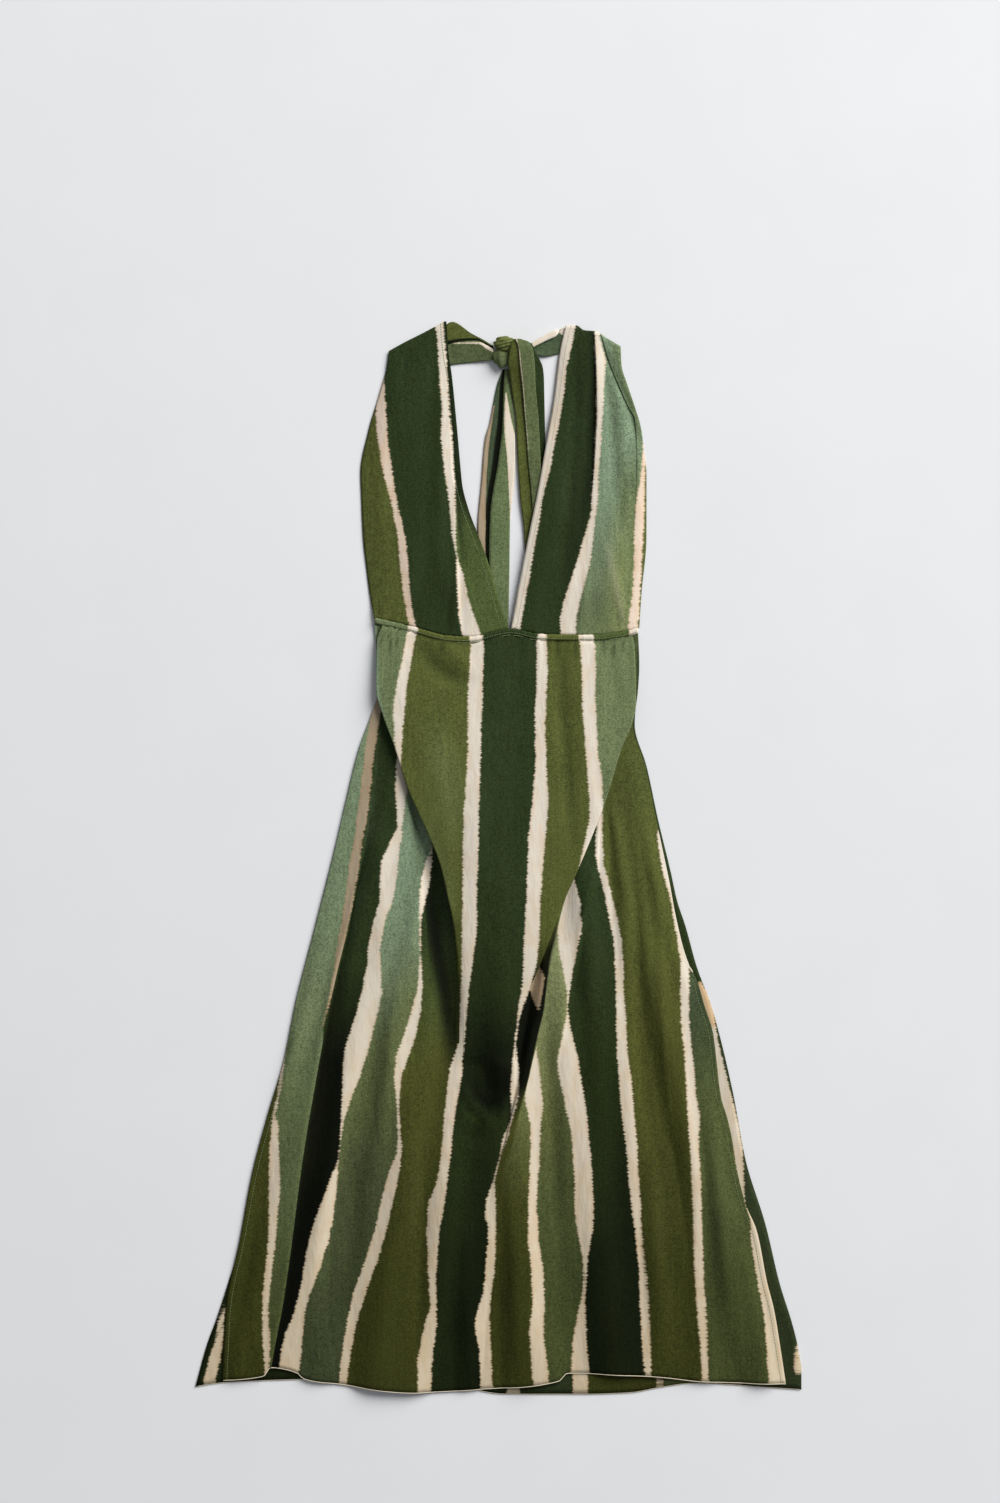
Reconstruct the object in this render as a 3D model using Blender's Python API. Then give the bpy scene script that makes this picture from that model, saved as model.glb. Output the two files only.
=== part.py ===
"""Halter dress laid flat on its back: two halter panels with a deep V, neck ties in a knot, a narrow
waist casing, and a flared skirt whose front is folded under at both sides of a broad centre fold.

The dress lies in the XY plane with the neck towards +Y and the hem towards -Y, the right way round as
seen from above, and rests on z = 0. Tables are in millimetres.

A cloth piece is a wall on a grid. Lines run along the piece, one for each edge, crest and hollow, in
the order in which the cloth passes them. A row of a line is (along, across, height). Each section of
the piece joins its lines with straight runs and rounds the corners, so where the next line lies back
under the last one the cloth is folded over.
"""

import bpy
import numpy as np

MM = 0.001
WALL = 1.4          # thickness of every cloth wall
SEAM_GAP = 0.3      # clearance between pieces at a seam
CASING_WIDTH = 7.2  # the narrow tunnel along the waist seam
CASING_DEPTH = 4.4
CRISP = 3           # points round a crisp fold
SOFT = 1            # points on a soft line

GREENS = {
    "skirt_front": (0.10, 0.15, 0.05),
    "skirt_back": (0.05, 0.08, 0.04),
    "halter_panel_left": (0.05, 0.09, 0.04),
    "halter_panel_right": (0.06, 0.10, 0.05),
    "waist_casing": (0.09, 0.13, 0.04),
    "neck_tie_left": (0.10, 0.15, 0.07),
    "neck_tie_right": (0.55, 0.45, 0.33),
    "tie_end_left": (0.12, 0.18, 0.10),
    "tie_end_right": (0.12, 0.17, 0.07),
    "tie_knot": (0.11, 0.16, 0.07),
}

# Outlines that run across the dress: (across, along).
WAIST_LINE = [(-149, 285), (-105, 275), (-57, 263), (-33, 262), (15, 271.5), (51, 265), (111, 264),
              (153, 269), (169, 273)]
CASING_HEIGHT = [(-149, 4.3), (-80, 6.6), (15, 8.4), (110, 7.2), (169, 4.3)]
FRONT_HEM = [(-331, -627), (-281, -621), (-273, -611), (-240, -618), (-234, -624), (-191, -631),
             (-98, -641), (-16, -637), (73, -627), (83, -618), (190, -622), (244, -628), (346, -631)]
BACK_HEM = [(-364, -634), (-327, -629), (-200, -625), (-60, -632), (10, -643), (107, -643), (160, -641),
            (194, -635), (235, -630), (339, -636), (364, -637.6)]
LEFT_PANEL_TOP = [(-131, 608), (-115, 617), (-90, 629.5), (-64, 643.5)]
RIGHT_PANEL_TOP = [(81, 638.8), (94, 638.8), (103, 633), (117, 631.6), (130, 623.6), (147, 613.6)]

WAIST_LEVEL = 268
HEM_LEVEL = -628

# Every line: (bend radius, points in the bend, points between it and the next line, rows).
# Front skirt, from its left side edge to its right one. The broad centre fold lies from tongue_left to
# tongue_right, and the cloth is folded under it at both sides.
FRONT_SKIRT = {
    "left_edge": (2, SOFT, 0, [
        (269, -148, 3.4), (202, -144, 2.7), (172, -152, 2.6), (130, -167, 2.6), (70, -182, 2.6),
        (10, -196, 2.6), (-85, -220, 2.6), (-170, -242, 2.6), (-244, -257, 2.6), (-304, -275, 2.6),
        (-379, -295, 2.6), (-459, -310, 2.6), (-538, -326, 2.6), (-632, -331, 2.6)]),
    "strip_middle": (12, SOFT, 0, [
        (269, -147, 3.4), (202, -142.5, 2.7), (130, -158, 3.6), (10, -182, 5), (-85, -203, 7),
        (-170, -229, 7), (-244, -250, 8), (-304, -264, 7.5), (-379, -276, 6), (-492, -283, 5),
        (-632, -300, 4)]),
    "strip_crest": (3, CRISP, 0, [
        (269, -146, 3.4), (202, -141, 2.7), (178, -139, 3.2), (111, -148, 5), (22, -161, 7),
        (-73, -178, 9), (-136, -194, 9), (-201, -208, 9), (-267, -220, 9), (-356, -235, 8),
        (-492, -253, 7), (-632, -274, 5)]),
    "strip_foot": (2, SOFT, 0, [
        (269, -145, 3.5), (202, -139, 2.7), (111, -146, 2.7), (22, -159, 2.7), (-73, -176.5, 4),
        (-136, -191.5, 3), (-201, -205, 2.8), (-267, -217, 2.8), (-356, -232, 3), (-492, -250, 3),
        (-632, -271, 2.8)]),
    "dark_crest": (4, CRISP, 0, [
        (269, -144, 3.5), (202, -137, 2.7), (130, -137, 2.8), (70, -146, 3), (10, -156, 4),
        (-50, -171, 5.5), (-90, -175, 7), (-170, -181, 9), (-256, -187, 9), (-350, -191, 8),
        (-470, -203, 5), (-632, -222, 5)]),
    "roll_left": (4, CRISP, 0, [
        (269, -143, 3.6), (202, -134, 2.8), (130, -121.5, 5), (70, -121.5, 9), (40, -124, 11),
        (10, -136, 13), (-14, -140, 14), (-80, -141, 15.5), (-158, -137, 16), (-230, -130, 15),
        (-298, -119, 13), (-356, -112, 11), (-470, -103, 7), (-632, -97, 8)]),
    "roll_right": (4, CRISP, 0, [
        (269, -142, 3.6), (202, -131, 2.8), (130, -116, 5), (70, -110, 9), (10, -100, 12),
        (-63, -94, 14), (-117, -92, 14), (-170, -89, 13), (-230, -86, 11), (-300, -82, 10),
        (-410, -76, 8), (-632, -70, 5)]),
    "hollow_left": (4, SOFT, 0, [
        (269, -141, 3.7), (202, -127, 2.8), (130, -110, 2.8), (70, -103, 2.8), (10, -91, 2.8),
        (-50, -76, 3), (-86, -65, 3.2), (-134, -57, 4), (-170, -53, 5), (-230, -54, 7), (-300, -58, 9),
        (-410, -60, 8), (-632, -56, 3)]),
    "tuck_left": (3, CRISP, 0, [
        (269, -140, 3.8), (235, -134, 3.6), (202, -121, 4), (130, -99, 5), (70, -80, 6), (10, -57, 7),
        (-50, -49, 8), (-86, -51, 10), (-134, -50, 11), (-170, -48, 10), (-230, -49, 8.4),
        (-300, -52, 9), (-410, -53, 8), (-632, -48, 3)]),
    "tongue_left": (4, CRISP, 3, [
        (269, -138, 5.4), (250, -146, 8), (202, -147, 11.5), (172, -139, 12.5), (134, -125, 14),
        (82, -108, 16.5), (26, -83, 18), (-7, -70, 18.5), (-50, -60, 18.5), (-86, -52.5, 18),
        (-134, -47, 17), (-170, -44, 14), (-230, -44, 9.6), (-300, -47, 9), (-410, -46, 8),
        (-632, -40, 3)]),
    "tongue_shoulder_left": (20, SOFT, 4, [
        (269, -76, 6.6), (202, -78, 12), (130, -64, 16), (70, -54, 19), (10, -42, 21), (-50, -40, 21.5),
        (-110, -36, 21), (-170, -34, 17), (-206, -34, 13.5), (-237, -36, 10), (-300, -40, 9),
        (-410, -38, 8), (-632, -30, 3)]),
    "tongue_centre": (20, SOFT, 4, [
        (269, 8, 8.2), (202, 8, 12), (130, 10, 15), (70, 12, 18), (10, 10, 21), (-50, 4, 23),
        (-110, -2, 22), (-170, -8, 17.5), (-206, -11, 13), (-237, -13, 9), (-265, -13, 5.6),
        (-290, -13, 3.8), (-302, -13, 4), (-312, -14, 8), (-322, -15, 9.6), (-350, -17, 9.4),
        (-410, -26, 8.2), (-530, -22, 5), (-632, -22, 3)]),
    "tongue_shoulder_right": (16, SOFT, 3, [
        (269, 92, 7.4), (202, 92, 12.5), (130, 84, 16), (70, 74, 19), (10, 58, 21), (-50, 42, 22),
        (-110, 28, 21), (-170, 14, 16.5), (-206, 8, 13), (-237, 5, 10), (-265, 7, 7.6), (-300, 6, 6.6),
        (-316, 3, 8), (-350, -4, 9), (-377, -13, 8.6), (-410, -18, 8.2), (-632, -16, 3)]),
    "tongue_right": (4, CRISP, 0, [
        (269, 160, 5.4), (254, 165, 7.5), (188, 167, 11), (164, 163, 12), (135, 151, 13.5),
        (68, 130, 15.5), (-21, 94, 18), (-50, 81, 18), (-90, 66, 18), (-124, 53, 17), (-157, 39, 15),
        (-182, 29.5, 13.5), (-206, 23, 12), (-237, 20, 9.5), (-264, 20, 7.6), (-289, 16, 6.8),
        (-310, 11, 7.4), (-338, 5, 8.4), (-377, -8, 8.2), (-410, -13, 8), (-632, -10, 3)]),
    "tuck_right": (3, CRISP, 0, [
        (269, 161.5, 4.4), (254, 159, 3.4), (202, 146, 4), (160, 138, 4.6), (111, 120, 5.4),
        (44, 96, 6.6), (-15, 74, 7.6), (-50, 62, 8), (-90, 51, 8), (-124, 42, 8), (-157, 35, 7),
        (-182, 30.5, 6), (-206, 25.5, 5.4), (-237, 23, 5), (-264, 22.5, 5.6), (-289, 18, 6),
        (-310, 13, 6.6), (-338, 7, 7.4), (-377, -6, 7.6), (-410, -10.5, 7.6), (-632, -7, 3)]),
    "pocket_right": (2, SOFT, 0, [
        (269, 162.5, 4.1), (254, 161, 2.8), (202, 151, 2.7), (160, 144, 2.7), (111, 127, 2.7),
        (44, 103, 2.7), (-15, 80, 2.8), (-50, 69, 3), (-90, 58, 3), (-124, 49, 3), (-157, 41, 3),
        (-182, 37, 3), (-206, 33, 3), (-237, 28, 3.4), (-264, 25, 5), (-289, 20, 5.6), (-310, 14.5, 6.4),
        (-338, 8.5, 7.2), (-377, -4.5, 7.5), (-410, -8, 7.6), (-632, -4, 3)]),
    "right_roll_left": (4, CRISP, 0, [
        (269, 163.5, 3.9), (254, 162, 2.8), (202, 153, 2.7), (160, 147, 2.7), (111, 131, 2.8),
        (44, 107, 3.4), (-15, 85, 5), (-50, 73, 7.6), (-90, 62, 10.6), (-124, 55, 13), (-157, 51, 14.5),
        (-182, 48, 15), (-206, 42, 15), (-237, 35, 14), (-264, 29, 12), (-289, 22, 11), (-310, 16, 10.2),
        (-338, 10, 9.6), (-377, -3, 8.6), (-410, -5, 7.8), (-530, 0, 5), (-632, 2, 3)]),
    "right_roll_right": (3, CRISP, 0, [
        (269, 164.5, 3.7), (254, 163.3, 2.8), (202, 157, 2.7), (160, 151, 2.7), (111, 140, 2.8),
        (44, 121, 4.4), (-15, 117.5, 9), (-45, 108, 11), (-77, 101.5, 13), (-122, 93.5, 14),
        (-165, 84.5, 14), (-206, 79, 12), (-237, 72, 10.4), (-300, 62, 8.6), (-410, 54, 7), (-530, 50, 6),
        (-632, 50, 6.6)]),
    "right_roll_foot": (3, SOFT, 1, [
        (269, 165.4, 3.6), (254, 164.2, 2.8), (202, 159, 2.7), (160, 153, 2.7), (111, 144, 2.8),
        (44, 125, 3), (-15, 119.5, 5.6), (-45, 110.5, 6.6), (-77, 104, 7.8), (-122, 96, 8.6),
        (-165, 87, 8.8), (-206, 82, 8.6), (-237, 76, 8.4), (-300, 70, 7.8), (-410, 70, 6.6),
        (-632, 84, 6.4)]),
    "right_plain": (30, SOFT, 2, [
        (269, 166.4, 3.5), (254, 165.2, 2.8), (202, 161, 2.7), (160, 157, 2.7), (111, 158, 4),
        (44, 156, 6), (-50, 160, 7.4), (-170, 166, 7.6), (-300, 172, 6.6), (-410, 178, 6), (-530, 186, 5),
        (-632, 192, 6)]),
    "right_side": (20, SOFT, 1, [
        (269, 167, 3.4), (254, 166, 2.8), (202, 163, 2.7), (160, 159.5, 2.7), (111, 168, 3.4),
        (44, 178, 5), (-50, 194, 6), (-170, 216, 6), (-300, 238, 5.4), (-410, 258, 5), (-530, 284, 4.4),
        (-632, 296, 4)]),
    "right_edge": (2, SOFT, 0, [
        (269, 167.6, 3.3), (254, 167.2, 2.7), (202, 166, 2.6), (160, 161.5, 2.6), (111, 176, 2.6),
        (44, 190, 2.6), (-26, 205, 2.6), (-74, 214, 2.6), (-135, 232, 2.6), (-142, 236.5, 2.6),
        (-178, 248, 2.6), (-210, 258, 2.6), (-229, 260.5, 2.6), (-289, 268, 2.6), (-308, 274, 2.6),
        (-338, 281, 2.6), (-370, 286, 2.6), (-415, 297, 2.6), (-446, 310, 2.6), (-510, 323, 2.6),
        (-541, 331, 2.6), (-587, 339, 2.6), (-632, 346, 2.6)]),
}
FRONT_ROWS = [268, 259, 248, 234, 218, 202, 182, 160, 134, 108, 82, 56, 30, 5, -20, -45, -70, -95, -122,
              -146, -170, -188, -206, -222, -237, -251, -265, -279, -291, -302, -312, -324, -342, -368,
              -400, -440, -485, -535, -580, -610, -628]

# Back skirt, one flat layer. (across the left edge, across the right edge) at each row.
BACK_EDGES = {
    "left": [(269, -146, 0), (202, -143, 0), (130, -164, 0), (70, -179, 0), (10, -193, 0), (-85, -217, 0),
             (-170, -239, 0), (-244, -254, 0), (-304, -272, 0), (-379, -292, 0), (-459, -308, 0),
             (-498, -320, 0), (-554, -338, 0), (-582, -349, 0), (-632, -364, 0)],
    "right": [(269, 168, 0), (230, 169.5, 0), (202, 168, 0), (172, 164.5, 0), (160, 164, 0),
              (111, 178, 0), (44, 192.5, 0), (-20, 208, 0), (-50, 214.5, 0), (-82, 225, 0),
              (-129, 238, 0), (-181, 257, 0), (-280, 281.6, 0), (-364, 297.5, 0), (-440, 321, 0),
              (-507, 337, 0), (-588, 361, 0), (-607, 364, 0), (-632, 364, 0)],
}
BACK_ROWS = [268, 250, 225, 202, 180, 160, 130, 95, 60, 20, -20, -60, -100, -140, -181, -230, -280, -330,
             -380, -440, -500, -560, -600, -628]
BACK_COLUMNS = 13

LEFT_PANEL = {
    "outer_edge": (2, SOFT, 0, [
        (275, -148.5, 3.9), (296, -152, 1.6), (340, -157, 0.7), (387, -162, 0.7), (432, -164, 0.7),
        (462, -165, 0.7), (514, -155, 0.7), (544, -147, 0.7), (574, -140, 0.9), (600, -134, 1.6),
        (625, -131, 2.9)]),
    "outer_swell": (10, SOFT, 1, [
        (275, -136, 4.9), (340, -143, 4), (432, -150, 4), (514, -142, 4.4), (574, -128, 4.4),
        (625, -121, 3.1)]),
    "dark_edge": (10, SOFT, 1, [
        (275, -105, 6.3), (340, -108, 7.4), (432, -120, 7), (514, -124, 7), (574, -116, 6),
        (625, -108, 3.3)]),
    "middle": (10, SOFT, 1, [
        (275, -74, 7.2), (340, -80, 9), (432, -90, 8.6), (514, -94, 8), (574, -90, 6.6), (625, -88, 3.6)]),
    "crest": (2.5, CRISP, 0, [
        (275, -43, 7.6), (294, -47, 8.8), (340, -49, 9.6), (365, -50, 9.6), (429, -50, 9.2),
        (466, -54.6, 8.6), (523, -57, 7.4), (597, -63, 5.2), (625, -66, 3.8)]),
    "crest_foot": (2, SOFT, 1, [
        (275, -40, 7.6), (294, -44, 7.4), (340, -46.5, 6.8), (429, -48, 5.8), (466, -53, 4.4),
        (523, -55.6, 3), (588, -61, 3), (625, -63.6, 3.4)]),
    "hem_line": (4, SOFT, 0, [
        (275, 0, 8), (322, -15, 6.8), (364, -26, 6.4), (417, -43, 5.6), (468, -49, 3.6), (523, -53, 2.4),
        (588, -60, 2.7), (625, -62.8, 3.2)]),
    "v_edge": (2, SOFT, 0, [
        (275, 12.4, 8.1), (322, -2, 6.6), (364, -15, 6.2), (393, -26, 5.4), (417, -35, 4.6),
        (448, -43, 3), (468, -45, 2.4), (524, -50, 1.8), (573, -56, 2), (588, -59, 2.5),
        (625, -62, 3)]),
}
LEFT_PANEL_ROWS = [275, 285, 298, 315, 338, 364, 392, 420, 446, 470, 496, 522, 548, 573, 592, 606, 617, 625]

RIGHT_PANEL = {
    "v_edge": (2, SOFT, 0, [
        (275, 15.8, 8.1), (300, 20, 6.6), (380, 35.4, 6.4), (442, 48, 6.4), (495, 57.5, 6.2),
        (550, 67.2, 3), (597, 74, 2.5), (628, 81, 2.9)]),
    "v_side": (6, SOFT, 1, [
        (275, 28, 8), (380, 50, 8), (442, 62, 8), (495, 70, 7.6), (550, 79, 6), (603, 86, 4.6),
        (628, 92, 3.6)]),
    "dark_plain": (10, SOFT, 1, [
        (275, 62, 7.4), (380, 80, 8), (442, 92, 7.4), (495, 97, 6.6), (550, 101, 5.4), (603, 103, 4.4),
        (628, 104, 3.8)]),
    "first_tuck": (2, CRISP, 0, [
        (275, 96, 7), (358, 105, 6.6), (412, 112, 5), (440, 116, 3.8), (500, 120, 3), (550, 121, 2.6),
        (590, 120, 2.4), (628, 117, 3.2)]),
    "first_crest": (2.5, CRISP, 1, [
        (275, 98, 7), (358, 106, 7.4), (412, 109.5, 8), (440, 112, 8.2), (500, 116, 8), (534, 117.4, 7.6),
        (590, 116.6, 6.6), (628, 114.4, 4.6)]),
    "sage_swell": (10, SOFT, 1, [
        (275, 128, 6.6), (340, 133, 8.6), (440, 136, 8.4), (500, 134, 8), (550, 130, 7), (590, 124.6, 5.6),
        (628, 119, 4)]),
    "second_tuck": (2, CRISP, 0, [
        (275, 152, 5.6), (386, 162, 4.6), (480, 166, 3.4), (527, 165, 2.6), (541, 159.5, 2.6),
        (573, 147.5, 2.6), (603, 134.6, 2.7), (628, 125, 3.1)]),
    "second_crest": (2.5, CRISP, 0, [
        (275, 153.5, 5.5), (386, 163.6, 4.8), (480, 167, 4.6), (527, 163.4, 5), (541, 156.4, 5.4),
        (573, 144.2, 5.4), (603, 131.6, 5), (628, 122.6, 4.4)]),
    "outer_edge": (2, SOFT, 0, [
        (275, 169.3, 3.9), (317, 172, 0.9), (386, 178, 0.7), (462, 178, 0.7), (479, 176, 0.7),
        (513, 172, 0.7), (544, 164, 0.7), (575, 155.4, 0.9), (605, 148, 1.8), (628, 147, 2.9)]),
}
RIGHT_PANEL_ROWS = [275, 285, 300, 320, 345, 372, 400, 428, 456, 480, 504, 524, 541, 558, 576, 594, 608,
                    619, 628]

# Straps of the neck tie run across the dress, so here along is x and across is y.
LEFT_STRAP = {
    "lower_edge": (1, SOFT, 0, [
        (-125, 598, 0.7), (-100, 594, 0.7), (-66, 590, 0.7), (-57, 591.4, 0.7), (-32, 596.4, 1.6),
        (-6.4, 602, 4.2)]),
    "band": (6, SOFT, 1, [
        (-125, 600, 0.7), (-100, 602, 0.7), (-66, 604, 0.7), (-57, 605, 0.9), (-50, 606, 2.4),
        (-32, 608, 4.4), (-6.4, 606.6, 6)]),
    "rim": (1.6, CRISP, 0, [
        (-125, 601.6, 0.7), (-100, 608, 0.7), (-66, 612.6, 0.7), (-58, 614, 0.9), (-52, 616.4, 3),
        (-32, 618.4, 4.8), (-25, 618.4, 5.2), (-14, 613.6, 6), (-6.4, 609.6, 6.4)]),
    "rim_foot": (1.6, CRISP, 0, [
        (-125, 602.8, 0.7), (-100, 612, 0.7), (-66, 617, 0.7), (-58, 618.4, 0.7), (-52, 619.4, 0.8),
        (-32, 621.6, 1.4), (-25, 621.4, 2), (-14, 616, 3.8), (-6.4, 611.6, 5)]),
    "flap_edge": (1, SOFT, 0, [
        (-125, 604.4, 0.7), (-100, 617, 0.7), (-66, 634, 0.7), (-60, 641.6, 0.7), (-55, 643.3, 0.7),
        (-32, 629.4, 1.2), (-14, 619.4, 3.4), (-6.4, 614, 4.6)]),
}
LEFT_STRAP_ROWS = [-124, -110, -96, -82, -72, -66, -61, -58, -55, -52, -46, -38, -30, -22, -15, -6.4]

RIGHT_STRAP = {
    "lower_edge": (1, SOFT, 0, [
        (40.8, 604.5, 4), (56, 601.6, 2), (75, 605, 0.7), (84, 606, 0.7), (110, 603, 0.7),
        (140, 605, 0.7)]),
    "lower_middle": (4, SOFT, 0, [
        (40.8, 607, 4.2), (56, 609, 2.4), (75, 616, 0.9), (84, 614, 0.7), (110, 611, 0.7),
        (140, 608, 0.7)]),
    "top_fold_low": (1.2, CRISP, 0, [
        (40.8, 617, 4.4), (59, 628.4, 2.2), (70, 633.4, 1.2), (77, 629, 0.7), (84, 625, 0.7),
        (110, 619, 0.7), (140, 611, 0.7)]),
    "top_fold_high": (1.2, CRISP, 0, [
        (40.8, 617, 6.9), (59, 628.4, 4.7), (70, 633.4, 3.4), (77, 632.8, 0.7), (84, 630, 0.7),
        (110, 622, 0.7), (140, 612.4, 0.7)]),
    "flap_edge": (1, SOFT, 0, [
        (40.8, 611.4, 7), (59, 620.8, 5), (70, 626, 3.8), (77, 636.6, 0.7), (84, 634, 0.7),
        (110, 625, 0.7), (140, 614, 0.7)]),
}
RIGHT_STRAP_ROWS = [40.8, 47, 53, 59, 65, 70, 72, 75, 77, 80, 84, 92, 104, 118, 130, 139]

LEFT_END = {
    "left_edge": (1, SOFT, 1, [
        (584, 5, 1.2), (568, -1, 0.7), (545, -5.6, 0.7), (522, -10, 0.7), (502, -15.7, 0.7),
        (452, -20, 0.7), (393, -24.6, 0.7), (310, -23, 0.7), (272, -22, 2.5), (238, -21, 2.5)]),
    "step_foot": (1.6, CRISP, 0, [
        (584, 7, 1.3), (568, 5.4, 0.8), (522, 4, 0.7), (478, -1, 0.7), (414, -10.6, 0.7), (371, -12, 0.7),
        (310, -12, 0.7), (272, -12, 2.5), (238, -12, 2.5)]),
    "crease": (1.6, CRISP, 1, [
        (584, 9.6, 3.4), (568, 9, 3.4), (522, 7.6, 3.4), (478, 2.6, 3.2), (414, -7, 3), (371, -8.6, 3),
        (310, -9, 2.8), (272, -9, 4.6), (238, -9, 4.4)]),
    "right_edge": (1, SOFT, 0, [
        (584, 13.8, 2.8), (563, 16, 2), (502, 20.4, 1.6), (478, 20.4, 1.4), (440, 18, 1.2),
        (401, 14.3, 1.2), (340, 13.6, 1.2), (310, 13, 1.4), (272, 12.4, 3.2), (238, 11.4, 3.2)]),
}
LEFT_END_ROWS = [584, 574, 562, 545, 525, 505, 482, 458, 434, 410, 386, 362, 338, 314, 296, 280, 268, 254, 238]

RIGHT_END = {
    "olive_edge": (1, SOFT, 0, [
        (621, 18, 15), (607, 14, 14.4), (594, 12, 12), (581, 13.5, 8), (563, 16, 4.6), (527, 21, 2.8),
        (478, 23.4, 2.4), (432, 26.4, 2.4), (393, 31, 2.4), (310, 34, 2.4)]),
    "olive_tuck": (1.2, CRISP, 0, [
        (621, 22, 15.2), (614, 26.6, 15.2), (591, 30.4, 11), (563, 34, 5), (531, 36.4, 3),
        (478, 41, 2.6), (393, 46, 2.4), (310, 47, 2.4)]),
    "crest": (1.4, CRISP, 0, [
        (621, 19.6, 17), (614, 23.4, 17.4), (591, 26, 13.6), (563, 29, 8), (531, 31.4, 5.6),
        (502, 34, 5), (478, 35.6, 4.8), (442, 39.2, 4.6), (393, 42, 4.4), (310, 43, 4.4)]),
    "band_right": (1.6, CRISP, 0, [
        (621, 26, 16.6), (618, 35, 15.8), (614, 40, 15), (605, 42.8, 13.4), (591, 44.4, 10.4),
        (563, 45.6, 6.8), (527, 49, 5.2), (478, 51.4, 4.8), (393, 54, 4.4), (310, 55, 4.4)]),
    "under_turn": (1, CRISP, 0, [
        (621, 25.4, 14.6), (618, 33, 13.8), (614, 38, 13), (605, 40.4, 10.6), (591, 41, 6),
        (563, 41, 2), (545, 42, 0.8), (527, 43, 0.7), (478, 46, 0.7), (393, 50, 0.7), (310, 51, 0.7)]),
    "dark_edge": (1, SOFT, 0, [
        (621, 27.6, 14.4), (618, 36.6, 13.4), (614, 41.4, 12), (605, 44.8, 9), (599, 48.8, 6),
        (591, 53, 3), (577, 55, 1), (563, 55.4, 0.7), (502, 56.6, 0.7), (393, 58, 0.7), (310, 58, 0.7)]),
}
RIGHT_END_ROWS = [621, 617, 612, 606, 599, 591, 582, 572, 560, 545, 527, 505, 482, 456, 430, 400, 370, 340, 312]

# Lobes of the knot: centre x, y, z and half sizes, all three round one inner point.
KNOT_LOBES = [
    (7, 615.5, 7.2, 13, 10, 6.6),
    (5, 599.5, 6.2, 10.4, 12.4, 5.6),
    (24, 609.5, 6.4, 16, 10, 7),
]
KNOT_HEART = (12, 607.5, 6.6)
KNOT_RINGS = 12
KNOT_SEGMENTS = 28


def clear_scene():
    for obj in list(bpy.data.objects):
        bpy.data.objects.remove(obj)


def smooth_through(points, at):
    """The height at each place of a smooth line through (place, height) points that never overshoots."""
    places, heights = (np.array(column, float) for column in zip(*sorted(points)))
    if len(places) == 2:
        return np.interp(at, places, heights)
    gaps = np.diff(places)
    slopes = np.diff(heights) / gaps
    same_way = slopes[:-1] * slopes[1:] > 0
    before, after = 2 * gaps[1:] + gaps[:-1], gaps[1:] + 2 * gaps[:-1]
    safe = np.where(same_way, slopes[:-1] * slopes[1:], 1.0)
    mean = (before + after) * safe / np.where(same_way, before * slopes[1:] + after * slopes[:-1], 1.0)
    tangents = np.concatenate([slopes[:1], np.where(same_way, mean, 0.0), slopes[-1:]])
    at = np.clip(at, places[0], places[-1])
    piece = np.clip(np.searchsorted(places, at, side="right") - 1, 0, len(gaps) - 1)
    t = (at - places[piece]) / gaps[piece]
    rise = heights[piece + 1] - heights[piece]
    return (heights[piece] + rise * (3 - 2 * t) * t * t
            + gaps[piece] * t * (1 - t) * (tangents[piece] * (1 - t) - tangents[piece + 1] * t))


def line_corners(lines, rows):
    """(rows, lines, 2): across and height of every line at every row."""
    rows = np.array(rows, float)
    corners = []
    for *_, stations in lines.values():
        across = smooth_through([(s[0], s[1]) for s in stations], rows)
        height = smooth_through([(s[0], s[2]) for s in stations], rows)
        corners.append(np.stack([across, height], axis=1))
    return np.stack(corners, axis=1)


def rounded_ends(corners, i, bend):
    """Where the bend at line i starts and ends, no further than just short of half way to its neighbours."""
    ends = []
    for neighbour in (corners[:, i - 1], corners[:, i + 1]):
        run = neighbour - corners[:, i]
        length = np.linalg.norm(run, axis=1, keepdims=True)
        ends.append(corners[:, i] + run * np.minimum(bend / np.maximum(length, 1e-6), 0.45))
    return ends


def rounded_sections(lines, rows):
    """(rows, points, 2): the sections with each corner rounded to its bend radius."""
    corners = line_corners(lines, rows)
    last = corners.shape[1] - 1
    columns = []
    extra = 0
    for i, (bend, points, between, _) in enumerate(lines.values()):
        corner = corners[:, i]
        if i in (0, last):
            arrive = leave = corner
        else:
            arrive, leave = rounded_ends(corners, i, bend)
        if extra:
            before = columns[-1]
            columns += [before + (arrive - before) * k / (extra + 1) for k in range(1, extra + 1)]
        extra = between
        if i in (0, last):
            columns.append(corner)
            continue
        for t in np.linspace(0, 1, points) if points > 1 else [0.5]:
            columns.append(arrive * (1 - t) ** 2 + corner * 2 * t * (1 - t) + leave * t * t)
    return np.stack(columns, axis=1)


def follow_outline(x, rows, level, outline, reach):
    """How far each point moves along the piece so that the end row follows its outline."""
    share = np.clip(1 - np.abs(np.array(rows, float) - level) / reach, 0, 1)[:, None]
    share = share * share * (3 - 2 * share)
    return share * (smooth_through(outline, x) - level)


def cloth_material(name):
    material = bpy.data.materials.new(name)
    material.use_nodes = True
    shader = material.node_tree.nodes["Principled BSDF"]
    shader.inputs["Base Color"].default_value = (*GREENS[name], 1)
    shader.inputs["Roughness"].default_value = 0.85
    shader.inputs["Metallic"].default_value = 0
    return material


def add_object(name, mesh):
    obj = bpy.data.objects.new(name, mesh)
    bpy.context.scene.collection.objects.link(obj)
    mesh.materials.append(cloth_material(name))
    mesh.shade_smooth()
    return obj


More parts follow.
